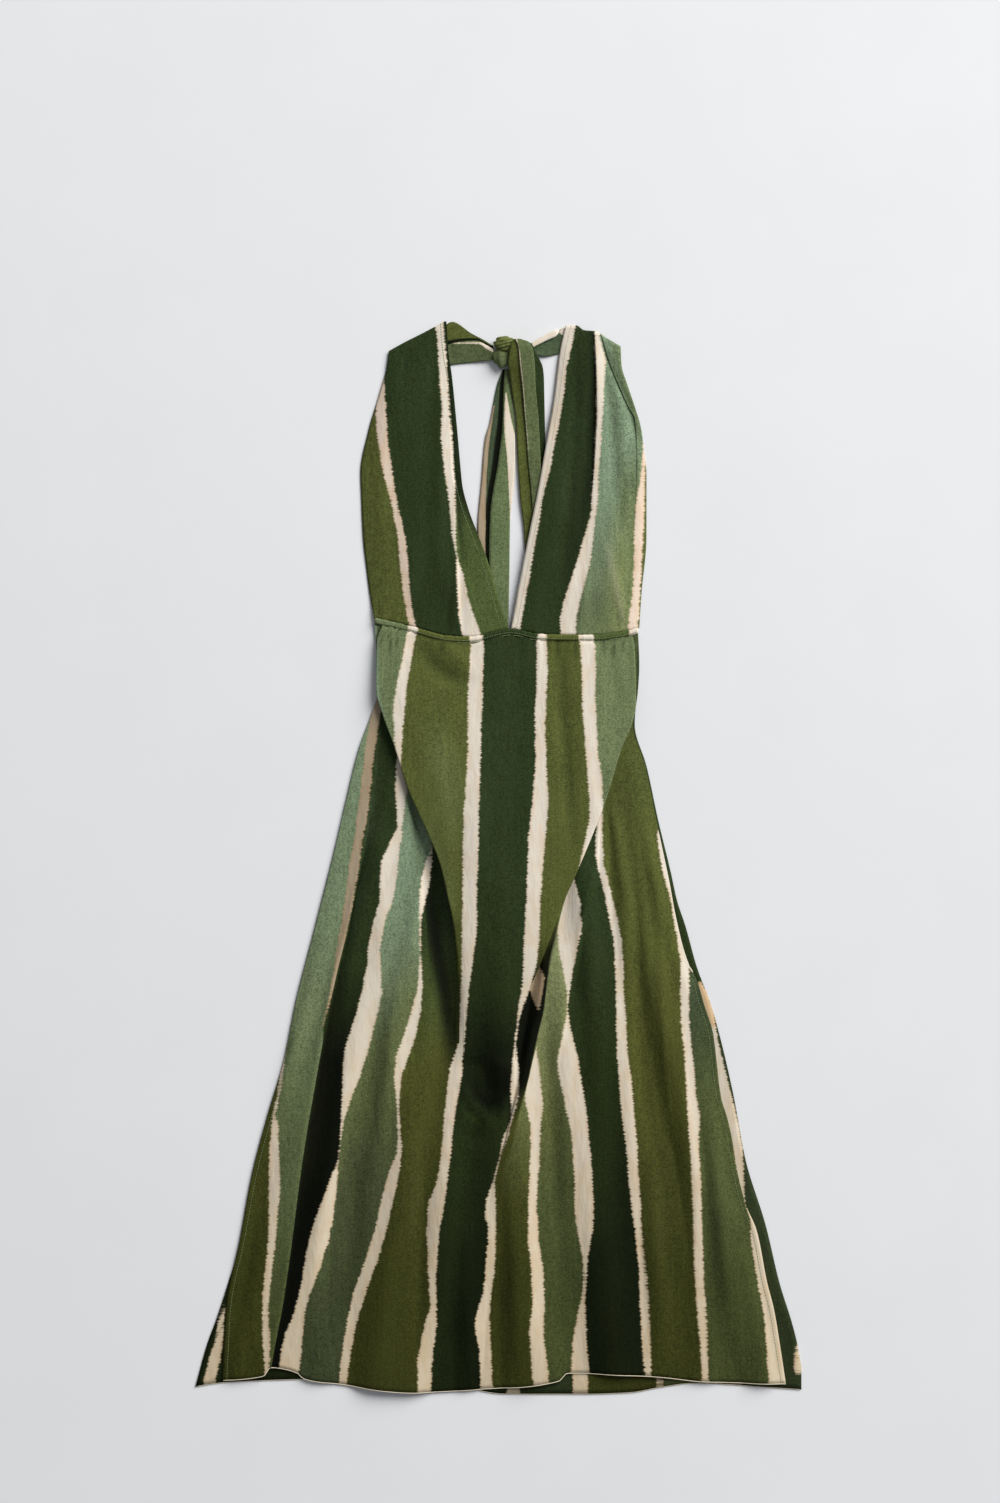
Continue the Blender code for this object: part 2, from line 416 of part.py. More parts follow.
def cloth_wall(name, grid):
    """A closed cloth wall on a (rows, columns, 3) grid of its middle surface, in millimetres."""
    rows, columns = grid.shape[:2]
    index = np.arange(rows * columns).reshape(rows, columns)
    faces = np.stack([index[:-1, :-1], index[:-1, 1:], index[1:, 1:], index[1:, :-1]], axis=-1)
    mesh = bpy.data.meshes.new(name)
    mesh.from_pydata((grid.reshape(-1, 3) * MM).tolist(), [], faces.reshape(-1, 4).tolist())
    mesh.update()
    obj = add_object(name, mesh)
    solidify = obj.modifiers.new("wall", "SOLIDIFY")
    solidify.thickness = WALL * MM
    solidify.offset = 0
    return obj


def casing_height(x):
    return smooth_through(CASING_HEIGHT, x)


def beside_casing(side):
    """The waist line moved to one side of the casing, where a panel's edge meets it."""
    shift = side * (CASING_WIDTH / 2 + SEAM_GAP)
    return [(x, y + shift) for x, y in WAIST_LINE]


def front_skirt():
    section = rounded_sections(FRONT_SKIRT, FRONT_ROWS)
    x, z = section[..., 0], section[..., 1]
    y = np.broadcast_to(np.array(FRONT_ROWS, float)[:, None], x.shape)
    y = y + follow_outline(x, FRONT_ROWS, WAIST_LEVEL, beside_casing(-1), 60)
    y = y + follow_outline(x, FRONT_ROWS, HEM_LEVEL, FRONT_HEM, 110)
    return cloth_wall("skirt_front", np.stack([x, y, z], axis=-1))


def back_skirt():
    rows = np.array(BACK_ROWS, float)
    left, right = (smooth_through([(s[0], s[1]) for s in BACK_EDGES[side]], rows)
                   for side in ("left", "right"))
    share = np.linspace(0, 1, BACK_COLUMNS)
    x = left[:, None] + (right - left)[:, None] * share
    y = np.broadcast_to(rows[:, None], x.shape)
    y = y + follow_outline(x, rows, WAIST_LEVEL, beside_casing(-1), 60)
    y = y + follow_outline(x, rows, HEM_LEVEL, BACK_HEM, 90)
    z = np.full(x.shape, WALL / 2)
    return cloth_wall("skirt_back", np.stack([x, y, z], axis=-1))


def halter_panel(name, lines, rows, top_outline):
    section = rounded_sections(lines, rows)
    x, z = section[..., 0], section[..., 1]
    y = np.broadcast_to(np.array(rows, float)[:, None], x.shape)
    y = y + follow_outline(x, rows, rows[0], beside_casing(1), 70)
    y = y + follow_outline(x, rows, rows[-1], top_outline, 110)
    return cloth_wall(name, np.stack([x, y, z], axis=-1))


def strap(name, lines, rows):
    section = rounded_sections(lines, rows)
    y, z = section[..., 0], section[..., 1]
    x = np.broadcast_to(np.array(rows, float)[:, None], y.shape)
    return cloth_wall(name, np.stack([x, y, z], axis=-1))


def tie_end(name, lines, rows):
    section = rounded_sections(lines, rows)
    x, z = section[..., 0], section[..., 1]
    y = np.broadcast_to(np.array(rows, float)[:, None], x.shape)
    return cloth_wall(name, np.stack([x, y, z], axis=-1))


def waist_casing():
    """The stuffed tunnel along the waist: an oval ring carried along the waist line, with closed ends."""
    stations, around = 31, 8
    x = np.linspace(WAIST_LINE[0][0] + 0.5, WAIST_LINE[-1][0] - 0.5, stations)
    y, z = smooth_through(WAIST_LINE, x), casing_height(x)
    turn = np.linspace(0, 2 * np.pi, around, endpoint=False)
    ring_y = np.cos(turn) * CASING_WIDTH / 2
    ring_z = np.sin(turn) * CASING_DEPTH / 2
    points = np.stack([np.broadcast_to(x[:, None], (stations, around)), y[:, None] + ring_y,
                       z[:, None] + ring_z], axis=-1)
    index = np.arange(stations * around).reshape(stations, around)
    ahead = np.roll(index, -1, axis=1)
    sides = np.stack([index[:-1], ahead[:-1], ahead[1:], index[1:]], axis=-1).reshape(-1, 4).tolist()
    ends = [index[0][::-1].tolist(), index[-1].tolist()]
    mesh = bpy.data.meshes.new("waist_casing")
    mesh.from_pydata((points.reshape(-1, 3) * MM).tolist(), [], sides + ends)
    mesh.update()
    return add_object("waist_casing", mesh)


def tie_knot():
    """The wrapped part of the knot: lobes of cloth pulled tight, as one skin round all of them."""
    tilt = np.linspace(0, np.pi, KNOT_RINGS + 1)[1:-1, None]
    turn = np.linspace(0, 2 * np.pi, KNOT_SEGMENTS, endpoint=False)[None, :]
    ways = np.stack([np.sin(tilt) * np.cos(turn), np.sin(tilt) * np.sin(turn),
                     np.cos(tilt) + 0 * turn], axis=-1).reshape(-1, 3)
    ways = np.concatenate([[[0, 0, 1]], ways, [[0, 0, -1]]])
    heart = np.array(KNOT_HEART, float)
    reach = np.zeros(len(ways))
    for x, y, z, half_x, half_y, half_z in KNOT_LOBES:
        half = np.array([half_x, half_y, half_z])
        offset = (heart - np.array([x, y, z])) / half
        step = ways / half
        a, b, c = (step ** 2).sum(1), (step * offset).sum(1), (offset ** 2).sum() - 1
        reach = np.maximum(reach, (np.sqrt(b * b - a * c) - b) / a)
    points = heart + ways * reach[:, None]
    index = np.arange((KNOT_RINGS - 1) * KNOT_SEGMENTS).reshape(KNOT_RINGS - 1, KNOT_SEGMENTS) + 1
    ahead = np.roll(index, -1, axis=1)
    faces = np.stack([index[:-1], index[1:], ahead[1:], ahead[:-1]], axis=-1).reshape(-1, 4).tolist()
    faces += [[0, a, b] for a, b in zip(index[0].tolist(), ahead[0].tolist())]
    bottom = len(ways) - 1
    faces += [[bottom, b, a] for a, b in zip(index[-1].tolist(), ahead[-1].tolist())]
    mesh = bpy.data.meshes.new("tie_knot")
    mesh.from_pydata((points * MM).tolist(), [], faces)
    mesh.update()
    return add_object("tie_knot", mesh)


def main():
    clear_scene()
    back_skirt()
    front_skirt()
    halter_panel("halter_panel_left", LEFT_PANEL, LEFT_PANEL_ROWS, LEFT_PANEL_TOP)
    halter_panel("halter_panel_right", RIGHT_PANEL, RIGHT_PANEL_ROWS, RIGHT_PANEL_TOP)
    waist_casing()
    strap("neck_tie_left", LEFT_STRAP, LEFT_STRAP_ROWS)
    strap("neck_tie_right", RIGHT_STRAP, RIGHT_STRAP_ROWS)
    tie_end("tie_end_left", LEFT_END, LEFT_END_ROWS)
    tie_end("tie_end_right", RIGHT_END, RIGHT_END_ROWS)
    tie_knot()


main()
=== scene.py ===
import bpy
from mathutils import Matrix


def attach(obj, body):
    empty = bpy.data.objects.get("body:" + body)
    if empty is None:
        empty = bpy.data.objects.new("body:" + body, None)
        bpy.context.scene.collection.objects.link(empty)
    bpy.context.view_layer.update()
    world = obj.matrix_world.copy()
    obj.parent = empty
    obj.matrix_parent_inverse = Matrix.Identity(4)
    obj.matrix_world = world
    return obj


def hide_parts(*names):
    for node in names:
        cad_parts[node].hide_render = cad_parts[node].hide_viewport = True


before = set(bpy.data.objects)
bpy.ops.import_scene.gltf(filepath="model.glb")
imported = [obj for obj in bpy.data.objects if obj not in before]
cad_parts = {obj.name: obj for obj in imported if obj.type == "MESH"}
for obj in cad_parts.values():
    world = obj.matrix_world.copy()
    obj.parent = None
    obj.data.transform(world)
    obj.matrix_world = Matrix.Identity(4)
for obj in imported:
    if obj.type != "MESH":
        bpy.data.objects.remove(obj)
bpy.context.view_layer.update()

import math
import bpy
import numpy as np

# Tie-dyed halter dress laid on its back. Tables are in millimetres: x to the right, y towards the neck,
# z up from the table. Meshes are in metres.
mm = 0.001
tiny = 1e-9
anyLine = (-1, 99)  # a span of section lines that takes in all of them

# colours of the cloth; black is no dye but painted shadow in valleys, pockets and creases, and deep is
# painted shade in folds, gathers and the lower dark stripes
dyesAndShades = {
    "cream": "#D9D0C2", "creamPink": "#DBC9B7", "tan": "#C9AE8C", "taupe": "#A89881",
    "dark": "#2B381E", "deep": "#1C2712", "black": "#0D1108", "olive": "#53592C", "moss": "#4B5830",
    "leaf": "#767F53", "sage": "#697552", "sageLight": "#7A8D72", "sageOuter": "#758668",
    "sageLow": "#616D48", "teal": "#424F3A", "tealLow": "#58654F", "rollLeaf": "#8D976E",
    "tieGreen": "#5A6443", "tieSage": "#5F6D4A", "tieMoss": "#5E6639", "tieTeal": "#4A5840",
}


def toLinear(code):  # sRGB hex colour to linear light: ((c + 0.055) / 1.055) ^ 2.4
    values = np.array([int(code[i:i + 2], 16) for i in (1, 3, 5)]) / 255
    return np.where(values > 0.04045, ((values + 0.055) / 1.055) ** 2.4, values / 12.92)


def unit(vectors):
    return vectors / np.maximum(np.linalg.norm(vectors, axis=-1, keepdims=True), tiny)


def between(place, span):  # which columns of a grid lie in a span of section lines
    return ((place >= span[0]) & (place <= span[1]))[None, :]


def smoothThrough(points, at):  # monotone cubic through (place, value) points, flat beyond both ends
    places, values = (np.array(column, float) for column in zip(*sorted(points)))
    if len(places) == 2:
        return np.interp(at, places, values)
    gaps = np.diff(places)
    slopes = np.diff(values) / gaps
    product = slopes[:-1] * slopes[1:]
    before, after = 2 * gaps[1:] + gaps[:-1], gaps[1:] + 2 * gaps[:-1]
    same = product > 0
    mean = (before + after) * np.where(same, product, 1) / np.where(
        same, before * slopes[1:] + after * slopes[:-1], 1)
    tangents = np.concatenate([slopes[:1], np.where(same, mean, 0), slopes[-1:]])
    at = np.clip(at, places[0], places[-1])
    piece = np.clip(np.searchsorted(places, at, side="right") - 1, 0, len(gaps) - 1)
    t = (at - places[piece]) / gaps[piece]
    rise = values[piece + 1] - values[piece]
    return (values[piece] + rise * (3 - 2 * t) * t * t
            + gaps[piece] * t * (1 - t) * (tangents[piece] * (1 - t) - tangents[piece + 1] * t))


sectionRule = {
    "bendShare": 0.44,  # the most of a run that one bend takes
    "usual": 85,  # percentile of the run lengths in all rows that sets how many columns a run has
    "sharp": 6, "sharpColumns": 5,  # a bend of this radius or less has a fixed number of columns
    "fewest": 3, "most": 14,  # columns of any other bend
}


def columnsFor(gap, step):
    return int(np.percentile(np.linalg.norm(gap, axis=1), sectionRule["usual"]) // step)


def sectionPoints(lines, rows, step):
    # Every line gives a corner of each row's section. A corner is replaced by the curve
    # a(1-t)^2 + 2ct(1-t) + bt^2 between points a and b at its bend radius on both runs.
    # A column's place counts the lines: 2.5 is midway between the third and the fourth.
    corners = np.stack([np.stack([smoothThrough([(row[0], row[k]) for row in table], rows) for k in (1, 2)],
                                 axis=1) for _, table in lines.values()], axis=1)
    run = np.linalg.norm(np.diff(corners, axis=1), axis=2)
    last = len(lines) - 1
    columns, place = [], []
    for i, (bend, _) in enumerate(lines.values()):
        corner = corners[:, i]
        arrive = leave = corner
        if 0 < i < last:
            arrive, leave = (corner + (corners[:, i + d] - corner) * np.minimum(
                bend / np.maximum(run[:, i - (d < 0)], tiny), sectionRule["bendShare"])[:, None]
                for d in (-1, 1))
        if columns:
            start = columns[-1]
            parts = columnsFor(arrive - start, step) + 1
            for k in range(1, parts):
                columns.append(start + (arrive - start) * k / parts)
                place.append(i - 0.99 + 0.98 * k / parts)
        if 0 < i < last:
            around = sectionRule["sharpColumns"] if bend <= sectionRule["sharp"] else int(np.clip(
                columnsFor(leave - arrive, step), sectionRule["fewest"], sectionRule["most"]))
            for t in np.linspace(0, 1, around):
                columns.append(arrive * (1 - t) ** 2 + corner * 2 * t * (1 - t) + leave * t * t)
                place.append(i + (t - 0.5) * 0.02)
        else:
            columns.append(corner)
            place.append(float(i))
    return np.stack(columns, axis=1), np.array(place)


def foldedGrid(lines, first, last, step, rowStep):  # x, y, z and place of a cloth from its section lines
    rows = np.linspace(first, last, int(abs(last - first) / rowStep))
    section, place = sectionPoints(lines, rows, step)
    return section[..., 0], np.broadcast_to(rows[:, None], section.shape[:2]), section[..., 1], place


def follow(x, y, level, outline, reach):  # moves rows near one end on to an outline, eased to nothing
    share = np.clip(1 - np.abs(y - level) / reach, 0, 1)
    return share * share * (3 - 2 * share) * (smoothThrough(outline, x) - level)


def distanceTo(path, x, y):  # shortest distance to a polyline, and how far along it that is, from 0 to 1
    path = np.array(path, float)
    best = np.full(x.shape, 1e9)
    along = np.zeros(x.shape)
    for k, (start, end) in enumerate(zip(path[:-1], path[1:])):
        run = end - start
        t = np.clip(((x - start[0]) * run[0] + (y - start[1]) * run[1]) / (run @ run), 0, 1)
        gap = np.hypot(x - start[0] - t * run[0], y - start[1] - t * run[1])
        nearer = gap < best
        best = np.where(nearer, gap, best)
        along = np.where(nearer, (k + t) / (len(path) - 1), along)
    return best, along


def addCreases(x, y, z, place, creases):
    # a crease is (height, width, lines, path, fade), and adds
    # height * exp(-(distance / width)^2) * sin(pi * along)^fade
    for height, width, lines, path, *fade in creases:
        gap, along = distanceTo(path, x, y)
        ends = np.sin(np.pi * np.clip(along, 0.02, 0.98)) ** (fade[0] if fade else 0.5)
        z = z + height * np.exp(-(gap / width) ** 2) * ends * between(place, lines)
    return z


def softWaves(x, y, seed, size):  # three crossed sine swells of unlike lengths and leans, summed
    total = np.zeros(np.shape(x))
    for k, (across, along, tilt) in enumerate([(31, 83, 0.3), (19, 57, -0.5), (47, 39, 0.9)]):
        total = total + np.sin((x + tilt * y) / across + seed * (k + 1.7)) * np.sin(
            (y - tilt * x) / along + seed * (2.3 * k + 0.6))
    return size * total / 3


def gathers(x, distance, size, pitch, reach):  # uneven little pleats that fade away from a seam
    phase = 2 * math.pi * (x / pitch + 0.55 * np.sin(x / 17.3) + 0.35 * np.sin(x / 7.9 + 1.4))
    strength = 0.55 + 0.45 * np.sin(x / 26.0 + 0.8)
    return size * strength * np.sin(phase) * np.exp(-np.abs(distance) / reach)


def drape(x, y, size, top):  # folds that fan out from the waist: sines of x over the skirt's width at y
    across = x / (150 + 0.34 * (268 - y))
    waves = (np.sin(19 * across + 0.7) + 0.7 * np.sin(31 * across + 2.1 + y / 160)
             + 0.45 * np.sin(49 * across + 0.3 - y / 120))
    return size * waves * np.clip((top - y) / 320, 0, 1)


def meshObject(name, points, faces):
    mesh = bpy.data.meshes.new(name)
    mesh.from_pydata((points * mm).tolist(), [], faces)
    mesh.update()
    mesh.shade_smooth()
    obj = bpy.data.objects.new(name, mesh)
    bpy.context.scene.collection.objects.link(obj)
    return obj


def storeDyeAndShade(obj, edge, green, cream):  # the dye of every vertex, painted shade included, as the attributes that the material reads
    new = obj.data.attributes.new
    new("dyeEdge", "FLOAT", "POINT").data.foreach_set("value", edge.ravel().astype(np.float32))
    for label, colour in (("greenAndShade", green), ("creamAndShade", cream)):
        colour = np.concatenate([colour.reshape(-1, 3), np.ones((colour.size // 3, 1))], axis=1)
        new(label, "FLOAT_COLOR", "POINT").data.foreach_set("color", colour.ravel().astype(np.float32))
    return obj


def bandQuads(rings, around):  # faces between rings of points, each ring closed on itself
    index = np.arange(rings * around).reshape(rings, around)
    ahead = np.roll(index, -1, axis=1)
    return np.stack([index[:-1], ahead[:-1], ahead[1:], index[1:]], axis=-1).reshape(-1, 4)


def clothMesh(name, grid, wall, flip, dye):
    # A closed wall: the grid moved out by half the wall on both sides, joined round its border.
    # flip is 1 or -1, whichever turns the first side up.
    rows, columns = grid.shape[:2]
    normal = unit(np.cross(np.gradient(grid, axis=1), np.gradient(grid, axis=0)) * flip)
    points = np.concatenate([grid + normal * wall / 2, grid - normal * wall / 2]).reshape(-1, 3)
    under = rows * columns
    index = np.arange(under).reshape(rows, columns)
    quads = np.stack([index[:-1, :-1], index[:-1, 1:], index[1:, 1:], index[1:, :-1]], axis=-1).reshape(-1, 4)
    border = np.concatenate([index[0, :-1], index[:-1, -1], index[-1, :0:-1], index[:0:-1, 0]])
    after = np.roll(border, -1)
    rim = np.stack([border, border + under, after + under, after], axis=-1)
    if flip < 0:
        quads, rim = quads[:, ::-1], rim[:, ::-1]
    faces = np.concatenate([quads, quads[:, ::-1] + under, rim])
    return storeDyeAndShade(meshObject(name, points, faces.tolist()), *(np.concatenate([part, part]) for part in dye))


def ringMesh(name, grid, dye):  # rings whose first and last shrink to a point
    rings, around = grid.shape[0] - 2, grid.shape[1]
    points = np.concatenate([grid[1:-1].reshape(-1, 3), grid[:1].mean(axis=1), grid[-1:].mean(axis=1)])
    first, last = rings * around, rings * around + 1
    ring = np.arange(around)
    pairs = np.stack([ring, np.roll(ring, -1)], axis=1)
    fans = [[first, b, a] for a, b in pairs.tolist()]
    fans += [[last, a, b] for a, b in (pairs + first - around).tolist()]
    obj = meshObject(name, points, bandQuads(rings, around).tolist() + fans)
    return storeDyeAndShade(obj, *(np.concatenate([
        part[1:-1].reshape((-1,) + part.shape[2:]), part[:1, 0], part[-1:, 0]]) for part in dye))


# How much of a colour's red, green and blue shows at each y: the cloth is drawn darker and warmer towards the
# hem, which paints in shade for part of the fall-off of light there and stands for darker dye for the rest.
hemDarkening = {
    "green": [(-640, 0.42, 0.40, 0.28), (-530, 0.44, 0.42, 0.30), (-400, 0.56, 0.53, 0.42),
              (-290, 0.69, 0.65, 0.52), (-170, 0.82, 0.78, 0.68), (-60, 0.94, 0.93, 0.89), (60, 1, 1, 1)],
    "cream": [(-640, 0.80, 0.74, 0.62), (-470, 0.87, 0.82, 0.72), (-300, 0.92, 0.89, 0.83),
              (-170, 0.95, 0.94, 0.90), (0, 1, 1, 1)],
}


def dyeSides(sides, y):  # the greens left and right of a stripe, blended between (y, left, right) rows
    places = np.array([side[0] for side in sides][::-1], float)
    for which in (1, 2):
        colours = np.array([toLinear(dyesAndShades[side[which]]) for side in sides][::-1])
        yield np.stack([np.interp(y, places, colours[:, c]) for c in range(3)], axis=-1)


dyeRule = {
    "far": 400, "hidden": 300,  # distance to a stripe before any is met, and to one on other lines, in mm
    "blend": 3, "least": 2,  # power of the distance in the mix of greens, and the least distance in it
    "toneEnds": 0.4,  # power of sin(pi * along) that fades a tone at its ends
}


def dyeAndShadeCloth(grid, place, stripes, shadeAndTintTones=(), turned=False):
    # Per point: distance outside the nearest cream stripe (inside is negative), the green there, mixed
    # from the stripes' sides by 1 / distance^3, and the nearest stripe's own cream. A stripe's rows are
    # (y, left, right); a side in black or deep is painted shade. A tone is (green, share, width, lines,
    # path), and draws the green near its path towards its own by share * exp(-(distance / width)^2). Most
    # tones are painted shade in creases, valleys, the pocket and under the casing, some are painted
    # highlights on ridges and bends, and a few change the green itself.
    x, y = (grid[..., 1], grid[..., 0]) if turned else (grid[..., 0], grid[..., 1])
    edge = np.full(x.shape, float(dyeRule["far"]))
    cream, green = np.zeros(x.shape + (3,)), np.zeros(x.shape + (3,))
    weight = np.zeros(x.shape)
    for stripe in stripes.values():
        places, lefts, rights = (np.array(column, float) for column in zip(*sorted(stripe["rows"])))
        left, right = np.interp(y, places, lefts), np.interp(y, places, rights)
        outside = np.maximum(left - x, x - right)
        beyond = np.maximum(places[0] - y, y - places[-1])
        outside = np.where(beyond > 0, np.hypot(np.maximum(outside, 0), beyond), outside)
        if "lines" in stripe:
            there = between(place, stripe["lines"]) | (y < stripe.get("freeBelow", -9999))
            outside = np.where(there, outside, dyeRule["hidden"])
        sideLeft, sideRight = dyeSides(stripe["sides"], y)
        share = np.clip(np.abs(outside), dyeRule["least"], None) ** -dyeRule["blend"]
        onLeft = (x < (left + right) / 2)[..., None]
        green += np.where(onLeft, sideLeft, sideRight) * share[..., None]
        weight += share
        nearer = outside < edge
        cream = np.where(nearer[..., None], toLinear(dyesAndShades[stripe["dye"]]), cream)
        edge = np.where(nearer, outside, edge)
    green = green / weight[..., None]
    for tone, share, width, lines, path in shadeAndTintTones:
        gap, along = distanceTo(path, x, y)
        ends = np.sin(np.pi * np.clip(along, 0.03, 0.97)) ** dyeRule["toneEnds"]
        share = (share * np.exp(-(gap / width) ** 2) * ends * between(place, lines))[..., None]
        green = green * (1 - share) + toLinear(dyesAndShades[tone]) * share
    hemGreenShare, hemCreamShare = (np.stack([smoothThrough([(row[0], row[c]) for row in hemDarkening[which]], y)
                                      for c in (1, 2, 3)], axis=-1) for which in ("green", "cream"))
    return edge, green * hemGreenShare, cream * hemCreamShare


class Shade:  # one socket of a node tree, with operators that add Math nodes
    def __init__(self, tree, socket):
        self.tree, self.socket = tree, socket

    def node(self, kind, settings=None, output=0, **values):  # values by socket name, or i0, i1 by number
        made = self.tree.nodes.new(kind)
        for key, value in (settings or {}).items():
            setattr(made, key, value)
        for key, value in values.items():
            numbered = key[0] == "i" and key[1:].isdigit()
            slot = made.inputs[int(key[1:]) if numbered else key]
            if isinstance(value, Shade):
                self.tree.links.new(value.socket, slot)
            else:
                slot.default_value = value
        return Shade(self.tree, made.outputs[output])

    def calc(self, operation, other):
        return self.node("ShaderNodeMath", {"operation": operation}, i0=self, i1=other)

    def __add__(self, other):
        return self.calc("ADD", other)

    def __sub__(self, other):
        return self.calc("SUBTRACT", other)

    def __mul__(self, other):
        return self.calc("MULTIPLY", other)

    def ramp(self, low, high):  # 0 at low and 1 at high, eased
        return self.node("ShaderNodeMapRange", {"interpolation_type": "SMOOTHSTEP"},
                         i0=self, i1=low, i2=high, i3=0.0, i4=1.0)

    def mix(self, share, other):  # this colour towards another by share
        return self.node("ShaderNodeMix", {"data_type": "RGBA"}, output=2, i0=share, i6=self, i7=other)

    def scaled(self, vector):
        return self.node("ShaderNodeVectorMath", {"operation": "MULTIPLY"}, i0=self, i1=vector)

    def bright(self, factor):  # a colour times a number
        return self.node("ShaderNodeVectorMath", {"operation": "SCALE"}, i0=self, Scale=factor)

    def into(self, shader, name):
        self.tree.links.new(self.socket, shader.inputs[name])


def newMaterial(name):
    material = bpy.data.materials.new(name)
    material.use_nodes = True
    tree = material.node_tree
    coords = Shade(tree, tree.nodes.new("ShaderNodeTexCoord").outputs["Object"])
    return material, tree.nodes["Principled BSDF"], coords


def noise(coords, stretch, detail=2.0, rough=0.5):  # noise with one cell per stretch, in millimetres
    size = tuple(1 / (length * mm) for length in stretch)
    return coords.node("ShaderNodeTexNoise", Vector=coords.scaled(size), Scale=1.0, Detail=detail,
                       Roughness=rough)


# each layer of noise: size across and along the stripes in mm, detail and roughness
clothNoise = {
    "tooth": (26, 2.3, 3.0, 0.62), "wander": (40, 34, 1.0, 0.5), "fuzz": (1.6, 0.9, 2.0, 0.5),
    "heather": (1.7, 1.3, 3.0, 0.7), "streaks": (2.2, 46, 3.0, 0.6), "slubs": (13, 1.1, 2.0, 0.6),
    "cloudy": (38, 70, 2.0, 0.5), "flecks": (3.6, 4.4, 2.0, 0.6), "pinker": (12, 34, 2.0, 0.5),
    "crinkle": (7, 24, 3.0, 0.55),
}
clothLook = {
    "edgeMoves": {"tooth": 7.4, "wander": 2.2, "fuzz": 1.6}, "edgeShift": 0.4,  # of the cream stripes, in mm
    "softness": 1.3, "bleed": 3.2, "bleedShare": 0.30,  # how far the edge blends and the stain runs, in mm
    "green": {"heather": 2.6, "streaks": 0.4, "slubs": 0.3, "flecks": 0.75, "cloudy": 0.45},
    "cream": {"heather": 0.12, "streaks": 0.10, "slubs": 0.07, "cloudy": 0.10},
    "pinker": (0.95, 0.86, 0.75), "pinkerShare": 0.6, "pinkerFrom": 0.4, "pinkerTo": 0.68,
    "stain": (0.78, 0.62, 0.42, 1), "thread": 0.62, "threadHeight": 0.10, "slubHeight": 0.12,
    "roughness": 0.88, "roughnessSpread": 0.12, "specular": 0.08,
}
narrowLook = dict(clothLook, edgeMoves={"tooth": 1.6, "wander": 0.5, "fuzz": 1.6}, softness=0.6)


def clothMaterial(name, turned=False, look=clothLook):
    # Dyed cotton. Its green and cream, read from the cloth's attributes, carry painted shade and highlights
    # along with the dye.
    # The cream edge is moved by noise that is long across the stripe and short along it.
    material, shader, coords = newMaterial(name)

    def layer(name):
        across, along, detail, rough = clothNoise[name]
        return noise(coords, (along, across, 9) if turned else (across, along, 9), detail, rough)

    def weighted(weights, total=None):  # the centred layers, each times its weight, added up
        for name, weight in weights.items():
            part = centred[name] * weight
            total = part if total is None else total + part
        return total

    def stored(label, output):
        return coords.node("ShaderNodeAttribute", {"attribute_name": label}, output=output)

    def threads(direction):
        return coords.node("ShaderNodeTexWave", {"bands_direction": direction}, output=1, Vector=coords,
                           Scale=2 * math.pi / (20 * look["thread"] * mm), Distortion=0.6, Detail=1.0)

    edge, green, cream = stored("dyeEdge", 2), stored("greenAndShade", 0), stored("creamAndShade", 0)
    centred = {name: layer(name) - 0.5 for name in (
        "tooth", "wander", "fuzz", "heather", "streaks", "slubs", "cloudy", "flecks")}
    moved = weighted(look["edgeMoves"], edge) + look["edgeShift"]
    isGreen = moved.ramp(-look["softness"], look["softness"])
    bleed = moved.ramp(-look["bleed"], 0.0)
    pinker = layer("pinker").ramp(look["pinkerFrom"], look["pinkerTo"])
    creamColour = cream.bright(weighted(look["cream"]) + 1.0).mix(
        pinker * look["pinkerShare"], cream.scaled(look["pinker"]))
    stained = creamColour.mix(bleed * look["bleedShare"], creamColour.node(
        "ShaderNodeMix", {"data_type": "RGBA", "blend_type": "MULTIPLY"}, output=2, i0=1.0, i6=creamColour,
        i7=look["stain"]))
    stained.mix(isGreen, green.bright(weighted(look["green"]) + 1.0)).into(shader, "Base Color")
    (centred["heather"] * look["roughnessSpread"] + look["roughness"]).into(shader, "Roughness")
    shader.inputs["Specular IOR Level"].default_value = look["specular"]
    weave = (threads("X") * look["threadHeight"] + threads("Y") * look["threadHeight"]
             + centred["slubs"] * look["slubHeight"])
    fine = coords.node("ShaderNodeBump", Strength=0.35, Distance=0.0005, Height=weave)
    coords.node("ShaderNodeBump", Strength=0.5, Distance=0.0016, Height=layer("crinkle"),
                Normal=fine).into(shader, "Normal")
    return material


def threadMaterial(name, colour):  # a fuzzy twisted thread
    material, shader, coords = newMaterial(name)
    base = coords.node("ShaderNodeRGB")
    base.socket.default_value = (*toLinear(colour), 1)
    fuzz = noise(coords, (0.4, 0.4, 0.4))
    base.bright(fuzz * 0.5 + 0.75).into(shader, "Base Color")
    shader.inputs["Roughness"].default_value = 0.7
    coords.node("ShaderNodeBump", Strength=0.4, Distance=0.0002, Height=fuzz).into(shader, "Normal")
    return material


clothWarp = clothMaterial("dyedCotton")
clothTurned = clothMaterial("dyedCottonAcross", turned=True)
tieWarp = clothMaterial("tieCotton", look=narrowLook)
tieTurned = clothMaterial("tieCottonAcross", turned=True, look=narrowLook)
greenThread = threadMaterial("greenThread", "#7C8A5E")
clothPale = threadMaterial("rolledHem", "#DCCFB6")
paleThread = threadMaterial("paleThread", "#D9CDB8")
print("materials made")


def finishPiece(obj, material, node, replaces=True):
    obj.data.materials.append(material)
    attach(obj, "root")
    if replaces:
        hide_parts(node)
    return obj


def cutSize(grid):  # area of the laid cloth's middle surface, in square metres
    a, b = grid[1:, 1:] - grid[:-1, :-1], grid[1:, :-1] - grid[:-1, 1:]
    return float(np.linalg.norm(np.cross(a, b), axis=2).sum() / 2 * mm * mm)


